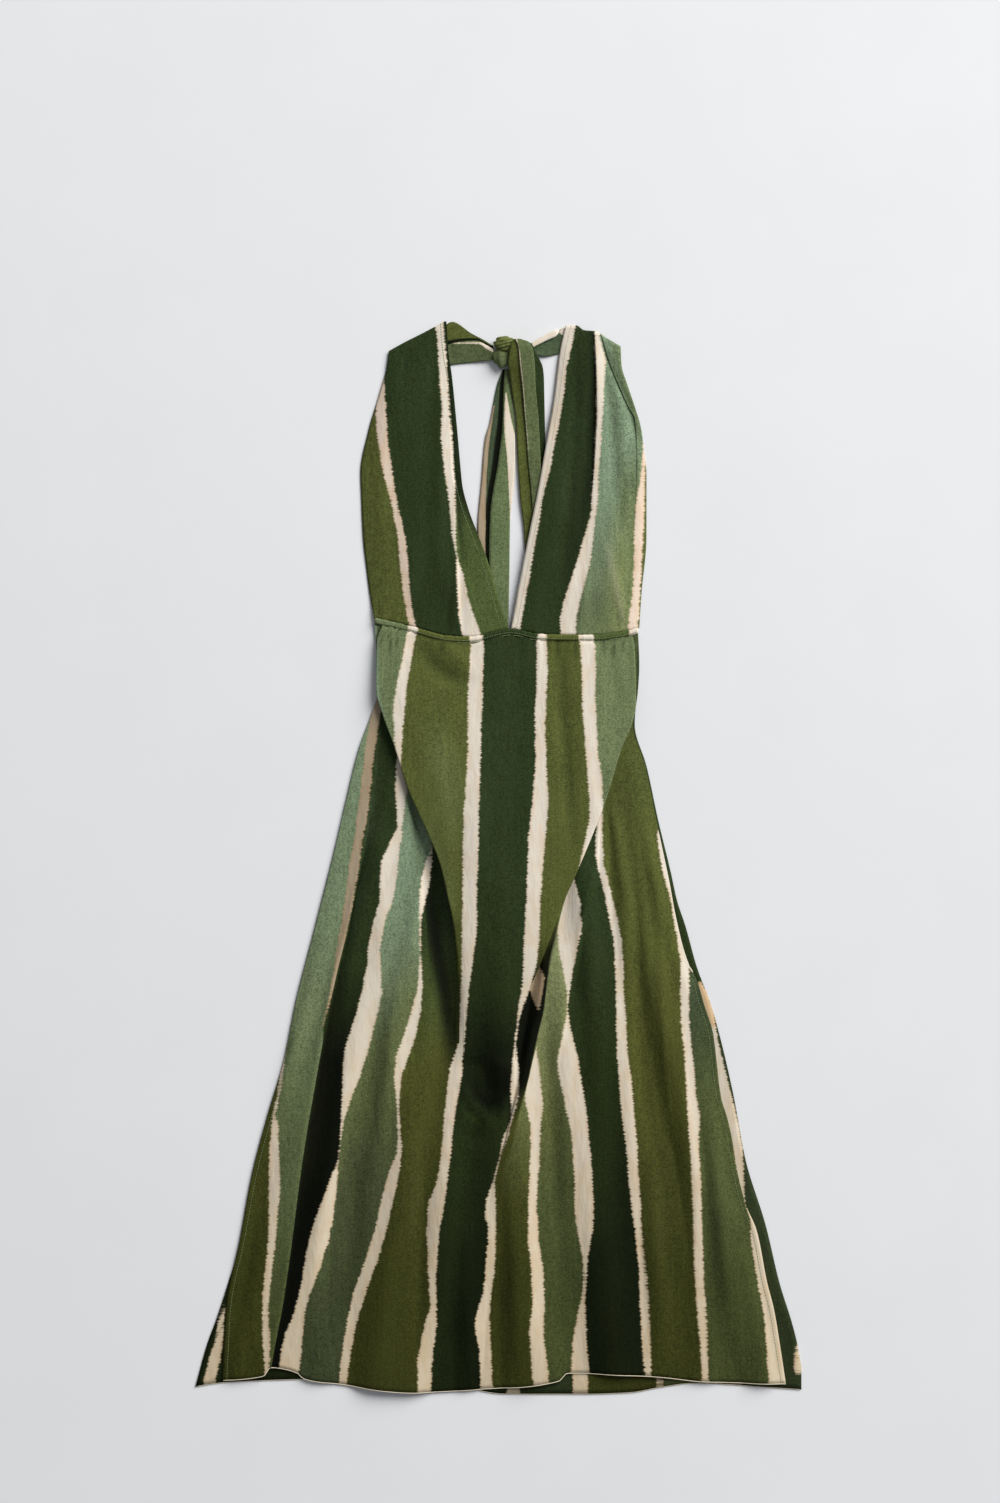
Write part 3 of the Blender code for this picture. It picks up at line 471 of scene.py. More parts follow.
# the waist line is shared by the casing and by every piece that meets it
waist = {
    "line": [(-149, 285), (-105, 275), (-57, 263), (-33, 262), (15, 271.5), (51, 265), (111, 264), (153, 269),
             (169, 273)],
    "height": [(-149, 4.3), (-80, 6.6), (15, 8.4), (110, 7.2), (169, 4.3)],
    "width": 7.4, "depth": 4.2, "overlap": 0.9,
}


def besideWaist(side):  # the waist line moved to one side of the casing
    shift = side * (waist["width"] / 2 - waist["overlap"])
    return [(x, y + shift) for x, y in waist["line"]]


# gathers below the casing: x, y, length and lean of each painted shadow
puckers = [
    (-140, 274, 20, 2), (-131, 272, 26, 3), (-122, 270, 18, 1), (-104, 266, 14, 2), (-68, 259, 12, 3),
    (60, 259, 14, -1), (72, 260, 24, 2), (84, 260, 20, 1), (93, 260, 26, 3), (127, 260, 14, 0),
    (140, 262, 22, -2), (151, 264, 16, -1),
]

# lines: bend radius and rows of (y, x, z), in the order in which the cloth passes them. Creases, stripes
# and the patches of painted shade are as addCreases and dyeAndShadeCloth describe them.
frontSkirt = {
    "top": 268, "bottom": -628, "step": 3.3, "rowStep": 5.6, "wall": 0.7, "flat": (0.74, 0.93),
    "area": 0.50, "topReach": 60, "hemReach": 110, "seed": 1.3, "waves": 0.8, "drape": 2.3,
    "drapeTop": 150, "settle": 0.9, "lowest": 1.8,
    "sideFade": 16, "settleFade": 50, "waveFade": 60,  # distances over which each grows to its full size
    "gathers": (1.3, 8.5, 26), "gatherLines": (9.0001, 13.4),  # size, pitch and reach; strongest here
    "tongue": (8.51, 13.49), "tongueFoot": -240,  # lines of the fold in the middle, and where it ends
    "hem": [(-331, -627), (-281, -621), (-273, -611), (-240, -618), (-234, -624), (-191, -631), (-98, -641),
        (-16, -637), (73, -627), (83, -618), (190, -622), (244, -628), (346, -631)],
    "lines": {
        "leftEdge": (2, [(269, -148, 3.4), (202, -144, 2.7), (172, -152, 2.6), (130, -167, 2.6),
            (70, -182, 2.6), (10, -196, 2.6), (-85, -220, 2.6), (-170, -242, 2.6), (-244, -257, 2.6),
            (-304, -275, 2.6), (-379, -295, 2.6), (-459, -310, 2.6), (-538, -326, 2.6), (-632, -331, 2.6)]),
        "stripMiddle": (20, [(269, -147, 3.4), (202, -142.5, 2.7), (130, -158, 3.6), (10, -182, 5),
            (-85, -203, 7), (-170, -229, 7), (-244, -250, 8), (-304, -264, 7.5), (-379, -276, 6),
            (-492, -283, 5), (-632, -300, 4)]),
        "stripCrest": (3, [(269, -146, 3.4), (202, -141, 2.7), (178, -139, 3.2), (111, -148, 5),
            (22, -161, 7), (-73, -178, 9), (-136, -194, 9), (-201, -208, 9), (-267, -220, 9),
            (-356, -235, 8), (-492, -253, 7), (-632, -274, 5)]),
        "stripFoot": (3, [(269, -145, 3.5), (202, -139, 2.7), (111, -146, 2.7), (22, -159, 2.7),
            (-73, -176.5, 4), (-136, -191.5, 3), (-201, -205, 2.8), (-267, -217, 2.8), (-356, -232, 3),
            (-492, -250, 3), (-632, -271, 2.8)]),
        "darkCrest": (4, [(269, -144, 3.5), (202, -137, 2.7), (130, -137, 2.8), (70, -146, 3), (10, -156, 4),
            (-50, -171, 5.5), (-90, -175, 7), (-170, -181, 9), (-256, -187, 9), (-350, -191, 8),
            (-470, -203, 5), (-632, -222, 5)]),
        "rollLeft": (4, [(269, -143, 3.6), (202, -134, 2.8), (130, -121.5, 5), (70, -121.5, 9),
            (40, -124, 11), (10, -136, 13), (-14, -140, 14), (-80, -141, 15.5), (-158, -137, 16),
            (-230, -130, 15), (-298, -119, 13), (-356, -112, 11), (-470, -103, 7), (-632, -97, 8)]),
        "rollRight": (4, [(269, -142, 3.6), (202, -131, 2.8), (130, -116, 5), (70, -110, 9), (10, -100, 12),
            (-63, -94, 14), (-117, -92, 14), (-170, -89, 13), (-230, -86, 11), (-300, -82, 10),
            (-410, -76, 8), (-632, -70, 5)]),
        "hollowLeft": (6, [(269, -141, 3.7), (202, -127, 2.8), (130, -110, 2.8), (70, -103, 2.8),
            (10, -91, 2.8), (-50, -76, 3), (-86, -65, 3.2), (-134, -57, 4), (-170, -53, 5), (-230, -54, 7),
            (-300, -58, 9), (-410, -60, 8), (-632, -56, 3)]),
        "tuckLeft": (3, [(269, -140, 3.8), (235, -134, 3.6), (202, -121, 4), (130, -99, 5), (70, -80, 6),
            (10, -57, 7), (-50, -49, 8), (-86, -51, 10), (-134, -50, 11), (-170, -48, 10), (-230, -49, 8.4),
            (-300, -52, 9), (-410, -53, 8), (-632, -48, 3)]),
        "tongueLeft": (2.6, [(269, -138, 5.4), (250, -146, 8), (202, -147, 11.5), (172, -139, 12.5),
            (134, -125, 14), (82, -108, 16.5), (26, -83, 18), (-7, -70, 18.5), (-50, -60, 18.5),
            (-86, -52.5, 18), (-134, -47, 17), (-170, -44, 14), (-230, -44, 9.6), (-300, -47, 9),
            (-410, -46, 8), (-632, -40, 3)]),
        "tongueShoulderLeft": (60, [(269, -76, 6.6), (202, -78, 12), (130, -64, 16), (70, -54, 19),
            (10, -42, 21), (-50, -40, 21.5), (-110, -36, 21), (-170, -34, 17), (-206, -34, 13.5),
            (-237, -36, 10), (-300, -40, 9), (-410, -38, 8), (-632, -30, 3)]),
        "tongueCentre": (60, [(269, 8, 8.2), (202, 8, 12), (130, 10, 15), (70, 12, 18), (10, 10, 21),
            (-50, 4, 23), (-110, -2, 22), (-170, -8, 17.5), (-206, -11, 13), (-237, -13, 9),
            (-265, -13, 5.6), (-290, -13, 3.8), (-302, -13, 4), (-312, -14, 8), (-322, -15, 9.6),
            (-350, -17, 9.4), (-410, -26, 8.2), (-530, -22, 5), (-632, -22, 3)]),
        "tongueShoulderRight": (60, [(269, 92, 7.4), (202, 92, 12.5), (130, 84, 16), (70, 74, 19),
            (10, 58, 21), (-50, 42, 22), (-110, 28, 21), (-170, 14, 16.5), (-206, 8, 13), (-237, 5, 10),
            (-265, 7, 7.6), (-300, 6, 6.6), (-316, 3, 8), (-350, -4, 9), (-377, -13, 8.6), (-410, -18, 8.2),
            (-632, -16, 3)]),
        "tongueRight": (4, [(269, 160, 5.4), (254, 165, 7.5), (188, 167, 11), (164, 163, 12),
            (135, 151, 13.5), (68, 130, 15.5), (-21, 94, 18), (-50, 81, 18), (-90, 66, 18), (-124, 53, 17),
            (-157, 39, 15), (-182, 29.5, 13.5), (-206, 23, 12), (-237, 20, 9.5), (-264, 20, 7.6),
            (-289, 16, 6.8), (-310, 11, 7.4), (-338, 5, 8.4), (-377, -8, 8.2), (-410, -13, 8),
            (-632, -10, 3)]),
        "tuckRight": (3, [(269, 161.5, 4.4), (254, 159, 3.4), (202, 146, 4), (160, 138, 4.6),
            (111, 120, 5.4), (44, 96, 6.6), (-15, 74, 7.6), (-50, 62, 8), (-90, 51, 8), (-124, 42, 8),
            (-157, 35, 7), (-182, 30.5, 6), (-206, 25.5, 5.4), (-237, 23, 5), (-264, 22.5, 5.6),
            (-289, 18, 6), (-310, 13, 6.6), (-338, 7, 7.4), (-377, -6, 7.6), (-410, -10.5, 7.6),
            (-632, -7, 3)]),
        "pocketRight": (3, [(269, 162.5, 4.1), (254, 161, 2.8), (202, 151, 2.7), (160, 144, 2.7),
            (111, 127, 2.7), (44, 103, 2.7), (-15, 80, 2.8), (-50, 69, 3), (-90, 58, 3), (-124, 49, 3),
            (-157, 41, 3), (-182, 37, 3), (-206, 33, 3), (-237, 28, 3.4), (-264, 25, 5), (-289, 20, 5.6),
            (-310, 14.5, 6.4), (-338, 8.5, 7.2), (-377, -4.5, 7.5), (-410, -8, 7.6), (-632, -4, 3)]),
        "rightRollLeft": (4, [(269, 163.5, 3.9), (254, 162, 2.8), (202, 153, 2.7), (160, 147, 2.7),
            (111, 131, 2.8), (44, 107, 3.4), (-15, 85, 5), (-50, 73, 7.6), (-90, 62, 10.6), (-124, 55, 13),
            (-157, 51, 14.5), (-182, 48, 15), (-206, 42, 15), (-237, 35, 14), (-264, 29, 12), (-289, 22, 11),
            (-310, 16, 10.2), (-338, 10, 9.6), (-377, -3, 8.6), (-410, -5, 7.8), (-530, 0, 5),
            (-632, 2, 3)]),
        "rightRollRight": (3, [(269, 164.5, 3.7), (254, 163.3, 2.8), (202, 157, 2.7), (160, 151, 2.7),
            (111, 140, 2.8), (44, 121, 4.4), (-15, 117.5, 9), (-45, 108, 11), (-77, 101.5, 13),
            (-122, 93.5, 14), (-165, 84.5, 14), (-206, 79, 12), (-237, 72, 10.4), (-300, 62, 8.6),
            (-410, 54, 7), (-530, 50, 6), (-632, 50, 6.6)]),
        "rightRollFoot": (5, [(269, 165.4, 3.6), (254, 164.2, 2.8), (202, 159, 2.7), (160, 153, 2.7),
            (111, 144, 2.8), (44, 125, 3), (-15, 119.5, 5.6), (-45, 110.5, 6.6), (-77, 104, 7.8),
            (-122, 96, 8.6), (-165, 87, 8.8), (-206, 82, 8.6), (-237, 76, 8.4), (-300, 70, 7.8),
            (-410, 70, 6.6), (-632, 84, 6.4)]),
        "rightPlain": (60, [(269, 166.4, 3.5), (254, 165.2, 2.8), (202, 161, 2.7), (160, 157, 2.7),
            (111, 158, 4), (44, 156, 6), (-50, 160, 7.4), (-170, 166, 7.6), (-300, 172, 6.6), (-410, 178, 6),
            (-530, 186, 5), (-632, 192, 6)]),
        "rightSide": (50, [(269, 167, 3.4), (254, 166, 2.8), (202, 163, 2.7), (160, 159.5, 2.7),
            (111, 168, 3.4), (44, 178, 5), (-50, 194, 6), (-170, 216, 6), (-300, 238, 5.4), (-410, 258, 5),
            (-530, 284, 4.4), (-632, 296, 4)]),
        "rightEdge": (2, [(269, 167.6, 3.3), (254, 167.2, 2.7), (202, 166, 2.6), (160, 161.5, 2.6),
            (111, 176, 2.6), (44, 190, 2.6), (-26, 205, 2.6), (-74, 214, 2.6), (-135, 232, 2.6),
            (-142, 236.5, 2.6), (-178, 248, 2.6), (-210, 258, 2.6), (-229, 260.5, 2.6), (-289, 268, 2.6),
            (-308, 274, 2.6), (-338, 281, 2.6), (-370, 286, 2.6), (-415, 297, 2.6), (-446, 310, 2.6),
            (-510, 323, 2.6), (-541, 331, 2.6), (-587, 339, 2.6), (-632, 346, 2.6)]),
    },
    "creases": [
        (2.2, 5, (15.5, 30), [(115, -13), (110, -35), (102, -73)]),
        (-1.8, 9, (15.5, 30), [(84, -10), (80, -60), (70, -110)]),
        (-2.8, 6.5, (9, 13.4), [(74, 264), (76, 172), (85, 80), (90, 12)]),
        (1.8, 9, (9, 13.4), [(94, 262), (99, 180), (106, 100)]),
        (-3.4, 9, (9, 13.4), [(-100, 260), (-82, 236), (-62, 216), (-34, 210)]),
        (2.4, 9, (9, 13.4), [(-72, 264), (-52, 244), (-34, 222)]),
        (1.4, 7, (9, 13.4), [(-118, 262), (-120, 230), (-128, 200)]),
        (1.4, 6, (9, 13.4), [(140, 262), (148, 225), (152, 190)]),
        (1.3, 12, (9, 13.4), [(112, 262), (118, 225), (120, 180), (112, 120)]),
        (1.6, 14, (9, 13.4), [(-20, 150), (-24, 60), (-26, -30)]),
        (1.2, 13, (9, 13.4), [(45, 170), (40, 90), (30, 10), (20, -60)]),
        (-1.4, 9, (9, 13.4), [(-60, 110), (-50, 40), (-44, -30)]),
        (4.6, 5.5, anyLine, [(-44, -268), (-31, -295), (-14, -311), (2, -305), (14, -283)]),
        (-2.6, 17, anyLine, [(-22, -226), (-14, -262), (-13, -292)], 0.8),
        (-1.6, 9, anyLine, [(-52, -330), (-20, -338), (-2, -330)]),
        (-3.5, 10, (6.4, 9.1), [(-88, -30), (-72, -90), (-61, -160), (-54, -240)]),
        (2, 16, anyLine, [(-60, -360), (-62, -450), (-66, -560)]),
        (2.2, 14, anyLine, [(-140, -380), (-158, -470), (-170, -590)]),
        (2.2, 14, anyLine, [(30, -420), (36, -500), (38, -600)]),
        (2, 12, anyLine, [(96, -250), (108, -380), (112, -520), (108, -610)]),
        (1.6, 15, anyLine, [(140, -60), (148, -200), (160, -340), (164, -480)]),
        (2.6, 12, anyLine, [(205, -120), (222, -260), (236, -420), (244, -590)]),
        (-2.2, 6, anyLine, [(116, 120), (134, 20), (140, -80), (143, -170)]),
        (-2.4, 6, (16, 30), [(150, 60), (166, -60), (172, -180), (176, -300)]),
        (2.2, 7, (16, 30), [(134, 70), (152, -40), (158, -160), (160, -290)]),
        (2, 7, (16, 30), [(182, 20), (194, -80), (198, -200), (206, -330)]),
        (2.6, 9, anyLine, [(188, -360), (192, -460), (200, -600)]),
        (-2.6, 8, anyLine, [(168, -330), (172, -460), (178, -610)]),
        (2.2, 9, anyLine, [(256, -330), (268, -450), (276, -590)]),
        (-2.2, 8, anyLine, [(226, -240), (248, -380), (256, -560)]),
        (-1.8, 8, anyLine, [(282, -440), (296, -540), (304, -620)]),
        (2.4, 9, (16, 30), [(52, -240), (58, -380), (62, -520)]),
        (2.4, 9, anyLine, [(12, -380), (18, -480), (22, -610)]),
        (2.6, 11, anyLine, [(-36, -400), (-38, -500), (-36, -610)]),
        (-2.8, 9, anyLine, [(-88, -330), (-92, -450), (-98, -600)]),
        (2.6, 10, (3.4, 30), [(-196, -330), (-214, -450), (-226, -590)]),
        (-2.8, 8, (3.4, 30), [(-178, -300), (-190, -430), (-204, -590)]),
        (2, 6, (3.4, 30), [(-262, -470), (-270, -540), (-278, -618)]),
        (2.2, 9, (4.6, 30), [(-120, -120), (-130, -220), (-142, -330)]),
        (-1.6, 12, anyLine, [(-10, -480), (-6, -560), (-8, -620)]),
        (-1.6, 11, anyLine, [(74, -430), (78, -520), (80, -620)]),
        (-1.6, 12, anyLine, [(-110, -440), (-122, -540), (-128, -622)]),
        (-1.4, 13, anyLine, [(200, -330), (206, -450), (214, -600)]),
        (1.4, 8, (15.5, 30), [(166, 60), (184, -20), (200, -100)]),
        (-1.2, 8, anyLine, [(-296, -420), (-304, -500), (-312, -590)]),
    ],
    # a stripe side in black or deep is painted shade in a valley, the pocket or a fold
    "stripes": {
        "taupeBand": {"dye": "taupe", "lines": (-1, 2.3), "sides": [(189.6, "sageOuter", "dark")],
            "rows": [(237.6, -142.8, -141.6), (201.6, -148.8, -140.4), (177.6, -152.4, -139.2),
                (130.8, -159.6, -147.6), (60, -168, -154.8), (21.6, -172.8, -162), (-19.2, -180, -168),
                (-63.6, -186, -175.2), (-104.4, -192.6, -184.1), (-140.4, -198, -192),
                (-170.4, -203.3, -200.4), (-202.8, -211.2, -209.4)]},
        "outerStrip": {"dye": "cream", "lines": (-1, 2.4),
            "sides": [(-218.4, "olive", "sageOuter"), (-626.4, "olive", "sageLow")],
            "rows": [(-206.4, -254.4, -251.3), (-218.4, -256.8, -252.5), (-250.8, -259.9, -256.1),
                (-283.2, -265.2, -260.9), (-308.4, -271.2, -266.4), (-320.4, -271.2, -263.3),
                (-356.4, -274.8, -262), (-398.4, -274.8, -261), (-458.4, -275.5, -265.9),
                (-482.4, -278.4, -268.8), (-519.6, -282, -273.6), (-548.4, -283.2, -274.8),
                (-576, -283.2, -272.4), (-602.4, -280.3, -273.6), (-640.8, -280.3, -278.4)]},
        "rollStripe": {"dye": "cream", "lines": (2.4, 8),
            "sides": [(85.2, "dark", "sageLight"), (-122.4, "dark", "sageLight"), (-242.4, "black", "sage"),
                (-626.4, "black", "tealLow")],
            "rows": [(135.6, -120, -115.2), (85.2, -123.6, -108), (68.4, -122.4, -110.4),
                (34.8, -121.4, -114), (0, -139.2, -118.8), (-21.6, -141.6, -120), (-52.8, -141.6, -126),
                (-74.4, -148.8, -134.8), (-106.8, -156, -140.4), (-122.4, -156, -139.7),
                (-160.8, -163.7, -138), (-187.2, -170.4, -144), (-218.4, -181.2, -152.4),
                (-232.8, -183.6, -156), (-260.4, -186, -164.4), (-286.8, -187.2, -175.2),
                (-314.4, -188.4, -184.1), (-331.2, -188.8, -187.2), (-362.4, -192.5, -190.3),
                (-394.8, -205.2, -193.2), (-427.2, -217.7, -196.8), (-458.4, -226.8, -202.8),
                (-487.2, -232.1, -211.2), (-518.4, -238.3, -223.2), (-542.4, -243.8, -230.4),
                (-570, -254.9, -233.5), (-590.4, -260.4, -235.6), (-640.8, -265.2, -241.2)]},
        "hollowStripe": {"dye": "cream", "lines": (2.4, 8.9),
            "sides": [(21.6, "sageLight", "dark"), (-86.4, "sageLight", "dark"), (-170.4, "sage", "moss"),
                (-260.4, "sage", "olive"), (-626.4, "tealLow", "olive")],
            "rows": [(27.6, -79.2, -78), (10.8, -81.6, -78), (-21.6, -92.4, -80.4), (-44.4, -94.8, -85.2),
                (-63.6, -94.8, -90), (-85.2, -94.8, -91.9), (-115.2, -94.1, -91.9), (-156, -96, -90),
                (-184.8, -104.8, -91.9), (-213.6, -113.3, -98.4), (-235.2, -122.4, -105.6),
                (-260.4, -124.8, -115.2), (-292.8, -121.2, -118.3), (-325.2, -120, -116.4),
                (-350.4, -121.2, -114), (-375.6, -130.8, -117.6), (-408, -140.4, -124.8),
                (-444, -147, -132.5), (-482.4, -159.6, -144), (-517.2, -172.8, -156.6),
                (-553.2, -180.7, -168), (-591.6, -187.2, -175.9), (-640.8, -193.2, -182.4)]},
        "tongueFirst": {"dye": "cream", "lines": (8.6, 13.5), "sides": [(261.6, "sage", "olive")],
            "rows": [(309.6, -105.6, -92.4), (278.4, -108, -95.2), (253.2, -112.9, -100.8),
                (231.6, -116.6, -104.4), (205.2, -121.6, -109.2), (174, -126, -111.6), (144, -124.8, -114),
                (120, -122.4, -115.2), (87.6, -117.6, -116.4)]},
        "tongueSecond": {"dye": "cream", "lines": (8.6, 30), "freeBelow": -218.4,
            "sides": [(261.6, "olive", "dark"), (-146.4, "olive", "dark"), (-242.4, "olive", "deep"),
                (-338.4, "olive", "dark"), (-626.4, "olive", "dark")],
            "rows": [(309.6, -36, -19.2), (266.4, -34.8, -17.4), (254.4, -32.8, -16.8),
                (218.4, -35.3, -17.4), (171.6, -36.7, -19.2), (130.8, -36.7, -20.4), (88.8, -38.4, -21),
                (61.2, -40.8, -22.8), (20.4, -42.2, -22.8), (-26.4, -42.2, -24.4), (-85.2, -43.7, -25.4),
                (-128.4, -43.7, -30.8), (-171.6, -45.6, -36), (-206.4, -46.8, -39), (-226.8, -49.2, -40.8),
                (-249.6, -57.6, -42), (-277.2, -61.9, -45.6), (-304.8, -64.8, -50.9), (-332.4, -66, -54.4),
                (-360, -68.8, -57.1), (-387.6, -73.2, -60.5), (-414, -84, -63.6), (-446.4, -85.8, -69.6),
                (-492, -84, -73.9), (-540, -81, -73.9), (-555.6, -87.6, -73.2), (-603.6, -97.2, -79.2),
                (-650.4, -96, -80.4)]},
        "tongueThird": {"dye": "cream", "lines": (8.6, 16.1), "freeBelow": -416.4,
            "sides": [(261.6, "dark", "olive"), (-92.4, "dark", "olive"), (-152.4, "dark", "black"),
                (-272.4, "black", "black"), (-320.4, "dark", "olive"), (-470.4, "deep", "olive"),
                (-626.4, "deep", "olive")],
            "rows": [(309.6, 46.8, 58.1), (268.8, 47.8, 58.8), (254.4, 45.6, 59.3), (224.4, 46.2, 60),
                (186, 44.4, 57.6), (163.2, 44.4, 56.4), (117.6, 44.4, 58.1), (67.2, 40.8, 60.5),
                (26.4, 36, 57), (-21.6, 34.3, 52.8), (-57.6, 33, 51), (-98.4, 30.5, 49.2),
                (-130.8, 30, 45.6), (-152.4, 28.8, 39.6), (-174, 24.5, 31.2), (-194.4, 22.2, 25.2),
                (-222, 19.2, 21.6), (-255.6, 16, 25.2), (-277.2, 15, 25.6), (-297.6, 15.6, 21.6),
                (-312, 15.2, 18), (-325.2, 9.6, 14.4), (-338.4, 4.2, 10.8), (-352.8, 2.2, 4.8),
                (-373.2, -2.6, -0.6), (-386.4, -6, -3.6), (-410.4, -14.4, -3), (-428.4, -15.6, -2.4),
                (-441.6, -12, -1.6), (-469.2, -13.4, -2.4), (-496.8, -16.2, -4.3), (-522, -18, -7.2),
                (-548.4, -27.6, -9.6), (-566.4, -28.2, -9), (-586.8, -23.5, -7.9), (-644.4, -20.8, -5.2)]},
        "tongueFourth": {"dye": "cream", "lines": (8.6, 13.6), "sides": [(261.6, "olive", "sage")],
            "rows": [(309.6, 94.8, 112.8), (267.6, 96, 114), (253.2, 98.4, 116.4), (224.4, 99.6, 117.6),
                (193.2, 100.3, 116.4), (163.2, 102, 118.1), (117.6, 105.2, 121.2), (103.2, 106.8, 124.4),
                (69.6, 109.2, 126), (48, 109.2, 127.2), (20.4, 103.8, 123.6), (-7.2, 97, 120),
                (-32.4, 94.8, 110.4)]},
        "rightRim": {"dye": "cream", "lines": (12.985, 14), "sides": [(261.6, "sage", "sage")],
            "rows": [(307.2, 165.6, 176.4), (261.6, 166.8, 176.4), (189.6, 166.6, 176.4),
                (163.2, 163.8, 176.4)]},
        # the pocket scrap is its cream in painted shade, taupe, with black painted shadow round it
        "pocketScrap": {"dye": "taupe", "lines": (13.5, 16.1), "sides": [(-122.4, "black", "black")],
            "rows": [(-127.2, 46.8, 49.2), (-142.8, 40.8, 56.4), (-156, 37.2, 54), (-170.4, 42, 51.6),
                (-183.6, 48, 49.8)]},
        "rightRollStripe": {"dye": "cream", "lines": (16.1, 30), "freeBelow": -416.4,
            "sides": [(-200.4, "rollLeaf", "rollLeaf"), (-314.4, "leaf", "leaf"),
                (-410.4, "olive", "sageLow"), (-626.4, "olive", "sageLow")],
            "rows": [(-192, 44.4, 45.6), (-200.4, 42, 46.8), (-228, 38.4, 45.6), (-255.6, 31.9, 50.4),
                (-276, 31.2, 52.4), (-297.6, 33.6, 54.5), (-318, 37.9, 51.6), (-338.4, 38.4, 51),
                (-360, 37.9, 50.4), (-387.6, 36.6, 48), (-416.4, 36, 46.2), (-458.4, 35.3, 49.2),
                (-494.4, 39.6, 55.2), (-536.4, 40.8, 56.4), (-566.4, 37.2, 54.5), (-603.6, 39.6, 58.8),
                (-644.4, 42.6, 63.6)]},
        "rightInner": {"dye": "cream", "lines": (16.1, 30), "freeBelow": -416.4,
            "sides": [(-64.8, "rollLeaf", "dark"), (-386.4, "sageLow", "dark"), (-482.4, "sageLow", "deep"),
                (-626.4, "sageLow", "deep")],
            "rows": [(-24, 86.4, 91.2), (-31.2, 80.4, 94.2), (-44.4, 74.4, 96.5), (-56.4, 72, 99.6),
                (-64.8, 70.8, 98.4), (-81.6, 70.6, 100.8), (-109.2, 72.7, 94.8), (-139.2, 78, 88.8),
                (-160.8, 82.3, 85.2), (-176.4, 82.1, 83.5), (-205.2, 78, 87.6), (-240, 70.6, 96),
                (-264, 72.7, 99.6), (-290.4, 79.2, 104.4), (-332.4, 87.6, 109.2), (-386.4, 91.8, 114),
                (-416.4, 91.2, 114.6), (-441.6, 93.6, 114), (-478.8, 101.4, 108), (-496.8, 102, 106.8),
                (-518.4, 101.4, 105.6), (-542.4, 96, 105), (-579.6, 89.4, 106.8), (-640.8, 85.7, 111.6)]},
        "rightMiddle": {"dye": "cream", "lines": (16.1, 30), "freeBelow": -416.4,
            "sides": [(69.6, "dark", "olive"), (-314.4, "dark", "olive"), (-446.4, "deep", "olive"),
                (-626.4, "deep", "olive")],
            "rows": [(93.6, 122.4, 126), (61.2, 118.8, 126), (20.4, 116.4, 126), (-7.2, 117.6, 127.2),
                (-24, 122.4, 132), (-49.2, 128.4, 138), (-76.8, 133.8, 144.5), (-98.4, 138, 148.8),
                (-130.8, 140.2, 150.5), (-163.2, 140.9, 151.2), (-206.4, 141.6, 154.1), (-237.6, 142.3, 156),
                (-270, 145.2, 160.8), (-304.8, 147.6, 163.2), (-349.2, 153.6, 167.4), (-386.4, 156.5, 169.2),
                (-423.6, 160.1, 171.6), (-464.4, 165.6, 174.6), (-500.4, 169.2, 178.8), (-552, 170.4, 182.4),
                (-591.6, 172.8, 183.6), (-640.8, 177.6, 184.3)]},
        "rightOuter": {"dye": "cream", "lines": (16.1, 30), "freeBelow": -416.4,
            "sides": [(22.8, "olive", "sage"), (-170.4, "olive", "teal"), (-350.4, "olive", "sageLow"),
                (-626.4, "olive", "sageLow")],
            "rows": [(33.6, 190.8, 194.4), (22.8, 190.8, 199.2), (-20.4, 198, 208.8), (-50.4, 206.4, 223.2),
                (-80.4, 211.2, 230.4), (-122.4, 218.2, 242.4), (-136.8, 218.2, 230.4), (-162, 218.2, 229.4),
                (-199.2, 219.1, 229.9), (-241.2, 223.2, 234.2), (-283.2, 225.1, 237.8), (-307.2, 226.6, 242),
                (-338.4, 228.5, 240.8), (-379.2, 231.6, 243), (-430.8, 233.6, 244.8), (-482.4, 234.7, 246),
                (-535.2, 237.6, 249.1), (-586.8, 242.4, 252), (-644.4, 244.2, 253.7)]},
        "rightEdgeStripe": {"dye": "cream", "lines": (16.1, 30), "freeBelow": -416.4,
            "sides": [(-338.4, "sageLow", "teal"), (-626.4, "sageLow", "teal")],
            "rows": [(-314.4, 278.4, 279.6), (-338.4, 282, 296.4), (-369.6, 285.6, 300),
                (-400.8, 294, 304.8), (-415.2, 296.4, 308.4), (-430.8, 301.8, 314.4), (-462, 303.6, 326.4),
                (-504, 310.1, 332.4), (-544.8, 318, 340.8), (-586.8, 321.6, 350.4), (-644.4, 325.2, 362.4)]},
    },
    # painted shade and highlights: black and deep darken creases, valleys, the pocket, the gathers and the
    # groove under the casing; sageLight, leaf and moss lighten the fold's bend, the tongue and the ridge
    # below its tip
    "shadeAndTintTones": [
        ("deep", 0.35, 9, (9, 13.4), [(-100, 258), (-78, 232), (-40, 208)]),
        ("deep", 0.3, 6, (9, 13.4), [(74, 262), (80, 140), (90, 20)]),
        ("sageLight", 1, 9, (7.5, 9.02), [(-150, 268), (-148, 200), (-140, 166)]),
        ("leaf", 0.35, 18, (9, 11), [(-74, 150), (-58, 94), (-50, 30)]),
        ("black", 0.8, 2.2, anyLine, [(x, y - 1.2) for x, y in besideWaist(-1)]),
        ("deep", 0.55, 14, (6.5, 9.4), [(-60, -170), (-50, -240), (-48, -300)]),
        ("black", 0.9, 10, (6.2, 9.1), [(-86, -20), (-76, -84), (-62, -160), (-54, -240)]),
        ("black", 0.85, 8, (6.2, 9.1), [(-84, -10), (-82, -60), (-74, -120), (-64, -172), (-55, -220)]),
        ("dark", 0.5, 6, (5, 8), [(-104, 60), (-97, 10), (-93, -50)]),
        ("black", 0.8, 9, (9, 16), [(-38, -262), (-26, -284), (-12, -294), (2, -286), (12, -268)]),
